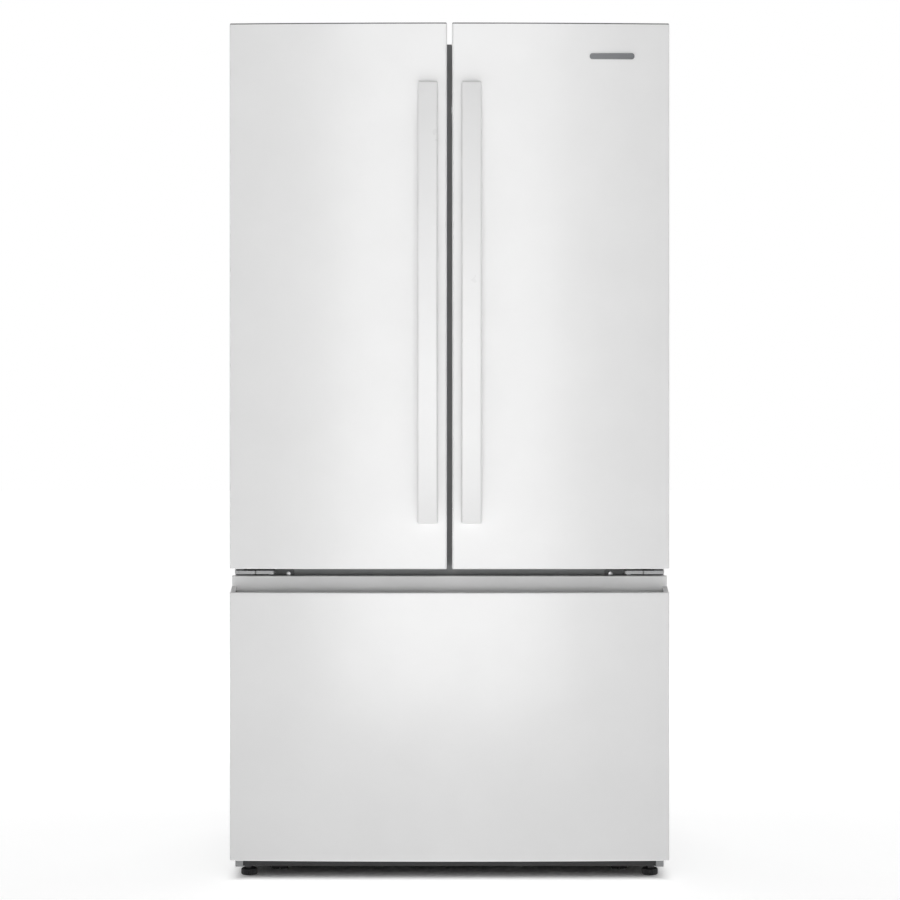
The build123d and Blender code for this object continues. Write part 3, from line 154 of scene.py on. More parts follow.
def vary_color(mat, color, scale, amount, stretch=(1, 1, 1)):
    """Uneven colour: the base colour drifts by the amount either way."""
    value = noise(mat, scale, 4.0, stretch)
    colors = ramp(mat, value, [(0.3, tint(color, 1 - amount)), (0.7, tint(color, 1 + amount))])
    shader = shader_of(mat)
    link(mat, colors, shader.inputs["Base Color"])


def vary_roughness(mat, low, high, scale, stretch=(1, 1, 1)):
    """Uneven gloss between two roughness values."""
    value = noise(mat, scale, 4.0, stretch)
    spread = node(mat, "ShaderNodeMapRange")
    spread.inputs["To Min"].default_value = low
    spread.inputs["To Max"].default_value = high
    shader = shader_of(mat)
    link(mat, value, spread.inputs["Value"])
    link(mat, spread.outputs["Result"], shader.inputs["Roughness"])


def bump(mat, height, strength, distance):
    """Surface relief from a height value; distance is in metres."""
    made = node(mat, "ShaderNodeBump", Strength=strength, Distance=distance)
    shader = shader_of(mat)
    last = shader.inputs["Normal"].links
    if last:
        link(mat, last[0].from_socket, made.inputs["Normal"])
    link(mat, height, made.inputs["Height"])
    link(mat, made.outputs["Normal"], shader.inputs["Normal"])


def enamel(name, color, roughness=0.24):
    """Baked gloss enamel with a faint orange peel and slightly uneven gloss."""
    mat = material(name, color, roughness, Coat_Weight=0.25, Coat_Roughness=0.12)
    vary_color(mat, color, 9.0, 0.012)
    vary_roughness(mat, roughness - 0.03, roughness + 0.05, 14.0)
    bump(mat, noise(mat, 420.0, 2.0), 0.05, 0.0003)
    return mat


def textured_paint(name, color):
    """Pebbled enamel whose grey is painted shade, standing in for the shaded cabinet face seen in the
    gaps between doors and drawer.
    """
    mat = material(name, color, 0.45)
    vary_color(mat, color, 6.0, 0.03)
    vary_roughness(mat, 0.38, 0.52, 40.0)
    pebbles = node(mat, "ShaderNodeTexVoronoi", Scale=520.0, feature="SMOOTH_F1")
    link(mat, mapped(mat), pebbles.inputs["Vector"])
    bump(mat, pebbles.outputs["Distance"], 0.35, 0.0004)
    bump(mat, noise(mat, 900.0, 2.0), 0.12, 0.0002)
    return mat


def moulded(name, color, roughness, grain=0.08):
    """Moulded plastic with a fine grain and a slight colour drift."""
    mat = material(name, color, roughness)
    vary_color(mat, color, 12.0, 0.02)
    vary_roughness(mat, roughness - 0.05, roughness + 0.07, 60.0)
    bump(mat, noise(mat, 1400.0, 2.0), grain, 0.0002)
    return mat


def galvanized():
    """Zinc-coated sheet with its crystal spangle."""
    color = (0.55, 0.56, 0.57)
    mat = material("galvanized_sheet", color, 0.38, 1.0)
    spangle = node(mat, "ShaderNodeTexVoronoi", Scale=75.0)
    link(mat, mapped(mat), spangle.inputs["Vector"])
    colors = ramp(mat, spangle.outputs["Color"], [(0.0, tint(color, 0.86)), (1.0, tint(color, 1.12))])
    shader = shader_of(mat)
    link(mat, colors, shader.inputs["Base Color"])
    vary_roughness(mat, 0.3, 0.5, 30.0)
    bump(mat, noise(mat, 300.0, 3.0), 0.06, 0.0002)
    return mat


def brushed(name, color, roughness, stretch):
    """Brushed or rolled metal with fine lines along one axis."""
    mat = material(name, color, roughness, 1.0)
    vary_color(mat, color, 20.0, 0.05, stretch)
    vary_roughness(mat, roughness - 0.06, roughness + 0.12, 12.0, stretch)
    bump(mat, noise(mat, 12.0, 4.0, stretch), 0.08, 0.0001)
    return mat


def rubber(name, color):
    """Soft vinyl with a dusty bloom."""
    mat = material(name, color, 0.62)
    vary_color(mat, color, 30.0, 0.08)
    bump(mat, noise(mat, 700.0, 3.0), 0.12, 0.0003)
    return mat


def clear(name, color, roughness, transmission):
    """Clear moulding or glass with slightly uneven gloss."""
    mat = material(name, color, roughness, Transmission_Weight=transmission, IOR=1.49)
    vary_roughness(mat, roughness, roughness + 0.08, 25.0)
    bump(mat, noise(mat, 60.0, 2.0), 0.02, 0.0004)
    return mat


def foam_material():
    """Rigid insulation foam with open cells."""
    color = (0.78, 0.66, 0.38)
    mat = material("rigid_foam", color, 0.9)
    vary_color(mat, color, 25.0, 0.12)
    cells = node(mat, "ShaderNodeTexVoronoi", Scale=900.0)
    link(mat, mapped(mat), cells.inputs["Vector"])
    bump(mat, cells.outputs["Distance"], 0.5, 0.0008)
    return mat


WHITE = enamel("white_enamel", (0.84, 0.84, 0.84))
WHITE_HANDLE = enamel("white_handle_enamel", (0.80, 0.80, 0.80), 0.28)
WHITE_TRIM = moulded("white_trim", (0.80, 0.80, 0.80), 0.32, 0.05)
# grey painted shade for the cabinet face seen in the door and drawer gaps
SHADE_GREY_PAINT = textured_paint("cabinet_shade_grey_paint", (0.30, 0.305, 0.31))
LINER = moulded("liner_white", (0.80, 0.81, 0.81), 0.3, 0.04)
CAP_GREY = moulded("cap_dark_grey", (0.11, 0.112, 0.115), 0.42, 0.15)
MULLION_GREY = moulded("mullion_dark_grey", (0.26, 0.262, 0.266), 0.4, 0.12)
BLACK_PLASTIC = moulded("black_plastic", (0.018, 0.018, 0.02), 0.45, 0.2)
BLACK_PAINT = moulded("black_paint", (0.02, 0.02, 0.022), 0.5, 0.15)
GALVANIZED = galvanized()
ZINC = brushed("zinc_plate", (0.62, 0.62, 0.63), 0.32, (1, 1, 1))
STEEL = brushed("slide_steel", (0.56, 0.57, 0.58), 0.3, (200, 2, 200))
COIL = brushed("coil_aluminium", (0.6, 0.61, 0.62), 0.35, (2, 2, 100))
BADGE = brushed("badge_metal", (0.16, 0.165, 0.17), 0.34, (4, 1, 400))
HINGE_PAINT = moulded("hinge_grey", (0.42, 0.425, 0.43), 0.34, 0.1)
GASKET = rubber("gasket_vinyl", (0.42, 0.43, 0.44))
TIRE = rubber("roller_plastic", (0.05, 0.05, 0.052))
GLASS = clear("shelf_glass", (0.86, 0.95, 0.92), 0.02, 0.95)
CLEAR = clear("clear_moulding", (0.93, 0.96, 0.97), 0.07, 0.88)
FROST = material("frosted_lens", (0.95, 0.96, 0.97), 0.5, Transmission_Weight=0.3, Emission_Strength=1.2)
shader_of(FROST).inputs["Emission Color"].default_value = (0.95, 0.97, 1, 1)
bump(FROST, noise(FROST, 1500.0, 2.0), 0.3, 0.0003)
BUTTON = moulded("button_grey", (0.32, 0.33, 0.34), 0.4)
FOAM = foam_material()
BASKET = moulded("basket_white", (0.78, 0.79, 0.80), 0.35, 0.05)


# ------------------------------------------------------------------ mesh helpers
def solid_mesh(name, part):
    """A mesh with its corners joined and its faces turned outwards."""
    verts, faces = part
    mesh = bpy.data.meshes.new(name)
    mesh.from_pydata([tuple(v) for v in verts], [], faces)
    mesh.validate()
    work = bmesh.new()
    work.from_mesh(mesh)
    bmesh.ops.remove_doubles(work, verts=work.verts, dist=1e-6)
    bmesh.ops.recalc_face_normals(work, faces=work.faces)
    work.to_mesh(mesh)
    work.free()
    return mesh


def placed(name, data):
    """A new object in the scene."""
    obj = bpy.data.objects.new(name, data)
    bpy.context.scene.collection.objects.link(obj)
    return obj


def shade(mesh, angle):
    """Smooth shading with creases sharper than the angle, in degrees."""
    mesh.shade_smooth()
    mesh.set_sharp_from_angle(angle=math.radians(angle))


def build(name, part, body, mat, replaces=(), smooth=35):
    """A mesh piece that rides on a body, with its material and replaced nodes."""
    obj = placed(name, solid_mesh(name, part))
    obj.data.materials.append(mat)
    shade(obj.data, smooth)
    obj.modifiers.new("weighted", "WEIGHTED_NORMAL").keep_sharp = True
    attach(obj, body)
    if replaces:
        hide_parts(*replaces)
    return obj


def loft(rings, closed=False):
    """Vertices and faces that join rings of equal length; closed joins the last ring to the first."""
    count = len(rings[0])
    verts = [v for ring in rings for v in ring]
    faces = []
    spans = len(rings) if closed else len(rings) - 1
    for r in range(spans):
        a = r * count
        b = (r + 1) % len(rings) * count
        for i in range(count):
            j = (i + 1) % count
            faces.append((a + i, a + j, b + j, b + i))
    if not closed:
        last = (len(rings) - 1) * count
        faces.append(tuple(range(count))[::-1])
        faces.append(tuple(range(last, last + count)))
    return verts, faces


def arc_points(cx, cy, radius, start, end, steps):
    """Points on an arc between two angles in degrees."""
    points = []
    for i in range(steps + 1):
        angle = math.radians(start + (end - start) * i / steps)
        points.append((cx + radius * math.cos(angle), cy + radius * math.sin(angle)))
    return points


def round_rect(x, y, radius, steps=5):
    """A rectangle's outline with rounded corners, anticlockwise."""
    r = max(radius, TINY)
    corners = [
        (x[0] + r, y[0] + r, 180),
        (x[1] - r, y[0] + r, 270),
        (x[1] - r, y[1] - r, 0),
        (x[0] + r, y[1] - r, 90),
    ]
    points = []
    for cx, cy, start in corners:
        points += arc_points(cx, cy, r, start, start + 90, steps)
    return points


def bowed_outline(x, back, corner, inset=0.0, steps=40):
    """Plan outline with the bowed front and rounded upright corners, set in by the inset."""
    low, high = x[0] + inset, x[1] - inset
    r = max(corner - inset, 0.3 * MM)
    bow = BOW_RADIUS - inset

    def center(cx):
        return cx, BOW_CENTER_Y - math.sqrt((bow - r) ** 2 - cx**2)

    points = []
    left = center(low + r)
    right = center(high - r)
    left_end = math.degrees(math.atan2(left[1] - BOW_CENTER_Y, left[0])) % 360
    right_start = math.degrees(math.atan2(right[1] - BOW_CENTER_Y, right[0])) % 360
    points += arc_points(left[0], left[1], r, 180, left_end, 6)
    for i in range(1, steps):
        angle = math.radians(left_end + (right_start - left_end) * i / steps)
        points.append((bow * math.cos(angle), BOW_CENTER_Y + bow * math.sin(angle)))
    points += arc_points(right[0], right[1], r, right_start, 360, 6)
    points += [(high, back), (low, back)]
    return points


def edge_steps(low, high, edge_low, edge_high, steps=5):
    """(height, inset) pairs that round both ends of a prism."""
    turns = [math.pi / 2 * i / steps for i in range(steps + 1)]
    bottom = [(low + edge_low * (1 - math.sin(a)), edge_low * (1 - math.cos(a))) for a in turns[::-1]]
    top = [(high - edge_high * (1 - math.sin(a)), edge_high * (1 - math.cos(a))) for a in turns]
    return (bottom if edge_low > 0 else [(low, 0.0)]) + (top if edge_high > 0 else [(high, 0.0)])


def bowed_slab(x, z, back, corner, edge_low=0.0, edge_high=0.0, inset=0.0):
    """Verts and faces of a slab behind the bowed front with rounded level edges."""
    rings = []
    for height, more in edge_steps(z[0], z[1], edge_low, edge_high):
        rings.append([(px, py, height) for px, py in bowed_outline(x, back, corner, inset + more)])
    return loft(rings)


def prism(outline_at, limits, edge_low, edge_high, place):
    """A prism whose outline depends on the inset; place puts (u, v, w) in space."""
    rings = []
    for w, more in edge_steps(limits[0], limits[1], edge_low, edge_high, 4):
        rings.append([place(u, v, w) for u, v in outline_at(more)])
    return loft(rings)


def upright(u, v, w):
    """Outline in plan, swept upwards."""
    return (u, v, w)


def along_x(u, v, w):
    """Outline seen from the side, swept across."""
    return (w, u, v)


def along_y(u, v, w):
    """Outline seen from the front, swept backwards."""
    return (u, w, v)


def rounded_block(low, high, radius, edge=None, axis="z"):
    """A block with rounded edges all round; radius is for the edges along the axis."""
    edge = radius if edge is None else edge
    order, place = {"z": ((0, 1, 2), upright), "x": ((1, 2, 0), along_x), "y": ((0, 2, 1), along_y)}[axis]
    u, v, w = ((low[i], high[i]) for i in order)
    small = min(u[1] - u[0], v[1] - v[0]) / 2 - TINY
    r = min(radius, small)
    e = min(edge, small, (w[1] - w[0]) / 2 - TINY)

    def outline(inset):
        limits = (u[0] + inset, u[1] - inset), (v[0] + inset, v[1] - inset)
        return round_rect(*limits, max(r - inset, TINY), 4)

    return prism(outline, w, e, e, place)


def join_parts(parts):
    """One vertex and face list from several."""
    verts, faces = [], []
    for part_verts, part_faces in parts:
        base = len(verts)
        verts += part_verts
        faces += [tuple(base + i for i in face) for face in part_faces]
    return verts, faces


def mirrored(part):
    """The same verts and faces on the other side of the middle."""
    verts, faces = part
    return [(-x, y, z) for x, y, z in verts], [tuple(reversed(face)) for face in faces]


def spun(radius, height, turn, center, axis):
    """Where a (radius, height) point lands after a turn round the axis through the centre."""
    u, v = radius * math.cos(turn), radius * math.sin(turn)
    offsets = {"z": (u, v, height), "y": (u, height, -v), "x": (height, u, v)}[axis]
    return tuple(start + offset for start, offset in zip(center, offsets))


SIDES = {-1: ("left", lambda part: part), 1: ("right", mirrored)}


def lathe(profile, center, steps=24, axis="z"):
    """A turned solid from (radius, height) points; the profile starts and ends on the axis."""
    turns = [2 * math.pi * i / steps for i in range(steps)]
    return loft([[spun(r, height, turn, center, axis) for turn in turns] for r, height in profile])


def turned(profile, center, steps=40, axis="x"):
    """A turned ring from a closed loop of (radius, height) points."""
    turns = [2 * math.pi * i / steps for i in range(steps)]
    rings = [[spun(r, height, turn, center, axis) for r, height in profile] for turn in turns]
    return loft(rings, closed=True)


def frame_sweep(profile, u, v, place):
    """A closed profile of (inset, height) points swept round a rectangle with mitred corners."""
    rings = []
    for inset, height in profile:
        low_u, high_u, low_v, high_v = u[0] + inset, u[1] - inset, v[0] + inset, v[1] - inset
        corners = [(low_u, low_v), (high_u, low_v), (high_u, high_v), (low_u, high_v)]
        rings.append([place(cu, cv, height) for cu, cv in corners])
    return loft(rings, closed=True)


def basin(x, y, z, wall, radius, draft, edge, rim):
    """An open tub with draft, a rounded bottom edge and a rolled rim."""
    rings = []

    def ring(inset, height):
        limits_x = (x[0] + inset, x[1] - inset)
        limits_y = (y[0] + inset, y[1] - inset)
        points = round_rect(limits_x, limits_y, max(radius - inset, 2 * MM), 6)
        rings.append([(px, py, height) for px, py in points])

    turns = [math.pi / 2 * i / 4 for i in range(5)]
    for turn in turns:
        ring(draft + rim + edge * (1 - math.sin(turn)), z[0] + edge * (1 - math.cos(turn)))
    ring(rim, z[1] - 3 * rim)
    ring(0.2 * MM, z[1] - 2.2 * rim)
    ring(0, z[1] - 0.8 * MM)
    ring(0.8 * MM, z[1])
    ring(rim + wall - 0.8 * MM, z[1])
    ring(rim + wall, z[1] - 0.8 * MM)
    inner = max(edge - wall, 1 * MM)
    for turn in turns[::-1]:
        height = z[0] + wall + inner * (1 - math.cos(turn))
        ring(draft + rim + wall + inner * (1 - math.sin(turn)), height)
    return loft(rings)


def evaluated_mesh(obj):
    """The object's mesh with its modifiers applied."""
    bpy.context.view_layer.update()
    return bpy.data.meshes.new_from_object(obj.evaluated_get(bpy.context.evaluated_depsgraph_get()))


def around(x, z, half_width, half_height, radius, steps):
    """A rounded rectangle's outline round its middle."""
    limits_x = (x - half_width, x + half_width)
    return round_rect(limits_x, (z - half_height, z + half_height), radius, steps)


def cross_bar(x, y, z, inset, radius, edge):
    """A rounded bar across a drawer or bin, set in from both ends."""
    return rounded_block((x[0] + inset, y[0], z[0]), (x[1] - inset, y[1], z[1]), radius, edge, "x")


def plate(outline, holes, thickness, place, bevel=0.2 * MM):
    """A flat sheet with holes, from its outline and the holes' outlines; place maps (u, v, w)."""
    curve = bpy.data.curves.new("plate", "CURVE")
    curve.dimensions = "2D"
    curve.fill_mode = "BOTH"
    curve.extrude = thickness / 2 - bevel
    curve.bevel_depth = bevel
    curve.bevel_resolution = 1
    curve.offset = -bevel
    for points in [outline] + holes:
        spline = curve.splines.new("POLY")
        spline.points.add(len(points) - 1)
        for point, (u, v) in zip(spline.points, points):
            point.co = (u, v, 0, 1)
        spline.use_cyclic_u = True
    holder = placed("plate", curve)
    mesh = evaluated_mesh(holder)
    verts = [place(v.co.x, v.co.y, v.co.z + thickness / 2) for v in mesh.vertices]
    faces = [tuple(face.vertices) for face in mesh.polygons]
    bpy.data.objects.remove(holder)
    bpy.data.curves.remove(curve)
    bpy.data.meshes.remove(mesh)
    return verts, faces


def screw(center, radius, height, facing):
    """A hex washer-head screw standing from the centre towards +Y, or -Y where facing is -1."""
    flange = [(ON_AXIS, 0.0), (radius, 0.0), (radius, 0.25 * height), (radius * 0.92, 0.4 * height)]
    dome = [(radius * 0.66, 0.45 * height), (radius * 0.62, 0.95 * height), (radius * 0.55, height)]
    recess = [(radius * 0.3, height), (radius * 0.22, 0.6 * height), (ON_AXIS, 0.6 * height)]
    return lathe([(r, facing * h) for r, h in flange + dome + recess], center, 24, "y")


def cut(obj, part):
    """Cuts a temporary solid out of a piece and applies the result."""
    cutter = placed("cutter", solid_mesh("cutter", part))
    modifier = obj.modifiers.new("cut", "BOOLEAN")
    modifier.solver = "EXACT"
    modifier.object = cutter
    for other in obj.modifiers:
        other.show_viewport = other == modifier
    result = evaluated_mesh(obj)
    obj.modifiers.remove(modifier)
    old = obj.data
    obj.data = result
    bpy.data.meshes.remove(old)
    bpy.data.objects.remove(cutter)
    for other in obj.modifiers:
        other.show_viewport = True
    shade(obj.data, 35)


def paint(mat, *names):
    """A procedural material for CAD nodes whose shape stays."""
    for name in names:
        target = NODES[name]
        target.data.materials.clear()
        target.data.materials.append(mat)


def soften(width, *names):
    """A small bevel on the sharp edges of CAD nodes that stay."""
    for name in names:
        modifier = NODES[name].modifiers.new("edge", "BEVEL")
        modifier.width = width
        modifier.segments = 2
        modifier.limit_method = "ANGLE"
        modifier.angle_limit = math.radians(50)


# ------------------------------------------------------------------ camera, light and floor
CAMERA_DISTANCE = 4.2
CAMERA_PLACE = (1 * MM, CROWN_Y - CAMERA_DISTANCE, 0.8955)
VISIBLE_WIDTH = 1.853
SENSOR_WIDTH = 36
STRIP_SPREAD = 60
SOFT_LIGHT = 0.14
FLOOR_HALF = 40
# name, place, angles in degrees, size, power
LIGHTS = [
    ("front_strip", (0, -3.0, 1.76), (90, 0, 0), (1.0, 2.5), 3.7),
    ("low_strip", (0, -3.0, 0.26), (90, 0, 0), (1.0, 0.46), 0.8),
    ("key", (0, -2.6, 3.6), (38, 0, 0), (3.0, 1.4), 3.5),
    ("left_fill", (-3.4, 0.2, 1.9), (78, 0, -90), (2.4, 2.4), 10),
    ("right_fill", (3.4, 0.2, 1.9), (78, 0, 90), (2.4, 2.4), 10),
    ("back_fill", (0, 3.4, 2.4), (-62, 0, 0), (3.0, 1.6), 25),
    ("top_fill", (0, -0.6, 4.4), (0, 0, 0), (7.0, 7.0), 25),
]


def camera():
    """Front camera, level with the middle of the picture."""
    data = bpy.data.cameras.new("camera")
    data.sensor_width = SENSOR_WIDTH
    data.lens = SENSOR_WIDTH * CAMERA_DISTANCE / VISIBLE_WIDTH
    made = placed("camera", data)
    made.location = CAMERA_PLACE
    made.rotation_euler = (math.radians(90), 0, 0)
    bpy.context.scene.camera = made


def white_world():
    """A soft even light all round that the camera sees as white."""
    world = bpy.data.worlds.new("world")
    bpy.context.scene.world = world
    world.use_nodes = True
    tree = world.node_tree
    soft = tree.nodes["Background"]
    soft.inputs["Strength"].default_value = SOFT_LIGHT
    white = tree.nodes.new("ShaderNodeBackground")
    for background in (soft, white):
        background.inputs["Color"].default_value = (1, 1, 1, 1)
    seen = tree.nodes.new("ShaderNodeLightPath")
    mix = tree.nodes.new("ShaderNodeMixShader")
    tree.links.new(seen.outputs["Is Camera Ray"], mix.inputs["Fac"])
    tree.links.new(soft.outputs["Background"], mix.inputs[1])
    tree.links.new(white.outputs["Background"], mix.inputs[2])
    tree.links.new(mix.outputs["Shader"], tree.nodes["World Output"].inputs["Surface"])


def area_lights():
    """Soft boxes round the fridge; the strips' reflections brighten the middle of the front."""
    for name, place, angles, size, power in LIGHTS:
        data = bpy.data.lights.new(name, "AREA")
        data.shape = "RECTANGLE"
        data.size, data.size_y = size
        data.energy = power
        data.spread = math.radians(STRIP_SPREAD if "strip" in name else 180)
        light = placed(name, data)
        light.location = place
        light.rotation_euler = [math.radians(a) for a in angles]
        light.visible_camera = False


def smooth_range(mat, start, end, top):
    """A value that rises smoothly from nothing at the start to its top at the end."""
    made = node(mat, "ShaderNodeMapRange", interpolation_type="SMOOTHSTEP")
    made.inputs["From Min"].default_value = start
    made.inputs["From Max"].default_value = end
    made.inputs["To Max"].default_value = top
    return made


def pale_floor():
    """White floor with a painted glow outside the fridge's footprint, stronger far away, leaving a
    painted shadow under the fridge.
    """
    mat = material("floor_white", (0.97, 0.97, 0.97), 0.8)
    vary_color(mat, (0.97, 0.97, 0.97), 3.0, 0.004)
    place = node(mat, "ShaderNodeVectorMath", operation="ABSOLUTE")
    outside = node(mat, "ShaderNodeVectorMath", operation="SUBTRACT")
    outside.inputs[1].default_value = (HALF_WIDTH - 30 * MM, -FACE_Y, 0)
    split = node(mat, "ShaderNodeSeparateXYZ")
    reach = node(mat, "ShaderNodeMath", operation="MAXIMUM")
    # painted glow: none under the fridge, rising just past the edge of its footprint
    near = smooth_range(mat, -10 * MM, 50 * MM, 0.64)
    far = smooth_range(mat, 0.4, 3.0, 0.26)
    total = node(mat, "ShaderNodeMath", operation="ADD")
    shader = shader_of(mat)
    shader.inputs["Emission Color"].default_value = (1, 1, 1, 1)
    link(mat, mapped(mat), place.inputs[0])
    link(mat, place.outputs["Vector"], outside.inputs[0])
    link(mat, outside.outputs["Vector"], split.inputs["Vector"])
    for i, name in enumerate("XY"):
        link(mat, split.outputs[name], reach.inputs[i])
    for i, share in enumerate((near, far)):
        link(mat, reach.outputs["Value"], share.inputs["Value"])
        link(mat, share.outputs["Result"], total.inputs[i])
    link(mat, total.outputs["Value"], shader.inputs["Emission Strength"])
    mesh = bpy.data.meshes.new("floor")
    half = FLOOR_HALF
    corners = [(-half, -half, 0), (half, -half, 0), (half, half, 0), (-half, half, 0)]
    mesh.from_pydata(corners, [], [(0, 1, 2, 3)])
    mesh.materials.append(mat)
    placed("floor", mesh)


bpy.context.scene.view_settings.view_transform = "Standard"
camera()
white_world()
area_lights()
pale_floor()

# ------------------------------------------------------------------ doors
def pocket_cutter():
    """The hinge pocket in the left door's top outer corner."""
    return rounded_block(
        (-HALF_WIDTH - PAST, EDGE_Y + 5 * MM, CAP_TOP - 28 * MM),
        (-HALF_WIDTH + 34 * MM, DOOR_REAR + PAST, CAP_TOP + PAST),
        3 * MM,
        1 * MM,
    )


def handle_outline(inset):
    """Side outline (y, z) of the bowed handle with its two feet, set in by the inset."""
    low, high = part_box("left_door_handle")
    middle, half = (low.z + high.z) / 2, (high.z - low.z) / 2
    corner = max(5 * MM - inset, 0.3 * MM)
    fillet = HANDLE_FILLET
    root = CROWN_Y + 1 * MM
    bottom, top = low.z + inset, high.z - inset
    foot_low, foot_high = low.z + HANDLE_FOOT - inset, high.z - HANDLE_FOOT + inset

    def bowed(z, offset):
        """How far forward the bar stands at this height, plus an offset."""
        return low.y + (CROWN_Y - HANDLE_END_REACH - low.y) * ((z - middle) / half) ** 2 + offset

    def stretch(start, end, offset, steps=36):
        """Points on the bow between two heights, without the ends."""
        heights = [start + (end - start) * i / steps for i in range(1, steps)]
        return [(bowed(z, offset), z) for z in heights]

    def arc(z, radius, offset, start, end):
        """A quarter circle that meets the bow at this height."""
        return arc_points(bowed(z, offset) + radius, z, radius, start, end, 5)

    front, rear = inset, HANDLE_THICKNESS - inset
    return (
        [(root, bottom)]
        + arc(bottom + corner, corner, front, 270, 180)
        + stretch(bottom + corner, top - corner, front)
        + arc(top - corner, corner, front, 180, 90)
        + [(root, top), (root, foot_high)]
        + arc(foot_high - fillet, fillet, rear, 90, 180)
        + stretch(foot_high - fillet, foot_low + fillet, rear)
        + arc(foot_low + fillet, fillet, rear, 180, 270)
        + [(root, foot_low)]
    )


def door(side):
    """Skin, caps and handle of one door; side is -1 for left and 1 for right."""
    name, flip = SIDES[side]
    body = f"{name}_door"
    x = (DOOR_LOW.x, DOOR_HIGH.x)
    skin = bowed_slab(x, (DOOR_LOW.z, DOOR_HIGH.z), SKIN_BACK, CORNER, EDGE)
    covered = [f"{name}_door_skin", f"{name}_door_foam"]
    cut(build(f"{name}_skin", flip(skin), body, WHITE, covered), flip(pocket_cutter()))
    cap_z = (DOOR_HIGH.z, CAP_TOP)
    cap = bowed_slab(x, cap_z, DOOR_REAR - 0.5 * MM, CORNER, 0.0, 0.8 * MM, 0.6 * MM)
    covered = [f"{name}_door_caps"]
    cut(build(f"{name}_top_cap", flip(cap), body, CAP_GREY, covered), flip(pocket_cutter()))
    sole_z = (DOOR_LOW.z, DOOR_LOW.z + 2 * MM)
    sole = bowed_slab(x, sole_z, DOOR_REAR - 1 * MM, CORNER, inset=8 * MM)
    build(f"{name}_bottom_cap", flip(sole), body, CAP_GREY, [])
    low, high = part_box("left_door_handle")
    bar = prism(handle_outline, (low.x, high.x), 3.5 * MM, 3.5 * MM, along_x)
    build(f"{name}_handle", flip(bar), body, WHITE_HANDLE, [f"{name}_door_handle"])


def edge_trim():
    """Dark strip on the left door's free edge that closes the gap between the doors."""
    low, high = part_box("left_door_edge_trim")
    reach = -DOOR_HIGH.x - 0.35 * MM
    strip = rounded_block((low.x, low.y, low.z), (reach, high.y, high.z), 0.8 * MM, 0.4 * MM)
    build("left_edge_strip", strip, "left_door", MULLION_GREY, ["left_door_edge_trim"])


for side in SIDES:
    door(side)
edge_trim()


# ------------------------------------------------------------------ freezer drawer front
def drawer_front():
    """Bowed drawer front with its lip, pocket and closed ends."""
    lip_top = DRAWER_HIGH.z
    x = (-HALF_WIDTH, HALF_WIDTH)
    pocket_back = EDGE_Y + PULL_REACH
    skin = bowed_slab(x, (DRAWER_LOW.z, lip_top), SKIN_BACK, CORNER, EDGE, EDGE)
    covered = ["freezer_drawer_skin", "freezer_drawer_foam"]
    piece = build("drawer_skin", skin, "freezer_drawer", WHITE, covered)
    floor_z = lip_top - PULL_DEPTH
    open_x = (x[0] - 2 * MM, x[1] + 2 * MM)
    trough_z = (floor_z, lip_top + 5 * PAST)
    cut(piece, bowed_slab(open_x, trough_z, DOOR_REAR + PAST, 4 * MM, 4 * MM, 0.0, 13 * MM))
    wall = rounded_block(
        (x[0] + 0.5 * MM, pocket_back, floor_z - 3 * MM),
        (x[1] - 0.5 * MM, DOOR_REAR, DRAWER_TOP),
        2 * MM,
        1.5 * MM,
        "x",
    )
    covered = ["freezer_drawer_pull"]
    build("drawer_pull_wall", wall, "freezer_drawer", WHITE_TRIM, covered)
    lip_back = EDGE_Y + 6 * MM

    def end_outline(inset):
        top = lip_top + 10 * MM
        return [
            (lip_back + inset, floor_z),
            (pocket_back + 2 * MM, floor_z),
            (pocket_back + 2 * MM, top - inset),
            (pocket_back - 12 * MM, top - 2.5 * MM - inset),
            (lip_back + 12 * MM, lip_top + 2.2 * MM - inset),
            (lip_back + inset, lip_top - 0.4 * MM - inset),
        ]

    for side, (name, _) in SIDES.items():
        limits = sorted((side * (HALF_WIDTH - 0.4 * MM), side * (HALF_WIDTH - 11 * MM)))
        part = prism(end_outline, limits, 1 * MM, 1 * MM, along_x)
        build(f"drawer_pull_{name}_end", part, "freezer_drawer", WHITE, [])


drawer_front()

# ------------------------------------------------------------------ levelling feet and rollers
def gear_ring(center, radius, depth, ridges, height):
    """One ring of a ribbed disc."""
    points = []
    for i in range(ridges * 4):
        angle = 2 * math.pi * i / (ridges * 4)
        r = radius if i % 4 in (0, 1) else radius - depth
        points.append((center[0] + r * math.cos(angle), center[1] + r * math.sin(angle), height))
    return points


def levelling_foot(side):
    """Ribbed foot with its hexagon and threaded stud."""
    name = f"{SIDES[side][0]}_foot"
    body = f"{SIDES[side][0]}_levelling_foot"
    low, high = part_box(name)
    center = ((low.x + high.x) / 2, (low.y + high.y) / 2, 0.0)
    radius = (high.x - low.x) / 2
    disc = []
    for height, scale, depth in (
        (0.0, 0.90, 0.0),
        (1.2, 0.97, 0.2),
        (2.0, 1.0, 1.3),
        (11.0, 1.0, 1.3),
        (12.2, 0.96, 0.4),
        (14.0, 0.82, 0.0),
    ):
        disc.append(gear_ring(center, radius * scale, depth * MM, 30, height * MM))
    turns = [math.radians(60 * i) for i in range(6)]
    hexagon = []
    for height, scale in ((13.5, 1.0), (19.4, 1.0), (20.0, 0.9)):
        hexagon.append([spun(9 * MM * scale, height * MM, turn, center, "z") for turn in turns])
    thread = [(ON_AXIS, 18 * MM)]
    for i in range(33):
        thread += [(4.2 * MM, (19 + 1.5 * i) * MM), (4.9 * MM, (19.75 + 1.5 * i) * MM)]
    thread += [(4.2 * MM, 69.2 * MM), (ON_AXIS, high.z)]
    foot = join_parts([loft(disc), loft(hexagon)])
    build(f"{name}_disc", foot, body, BLACK_PLASTIC, [name])
    build(f"{name}_stud", lathe(thread, center), body, ZINC, [])


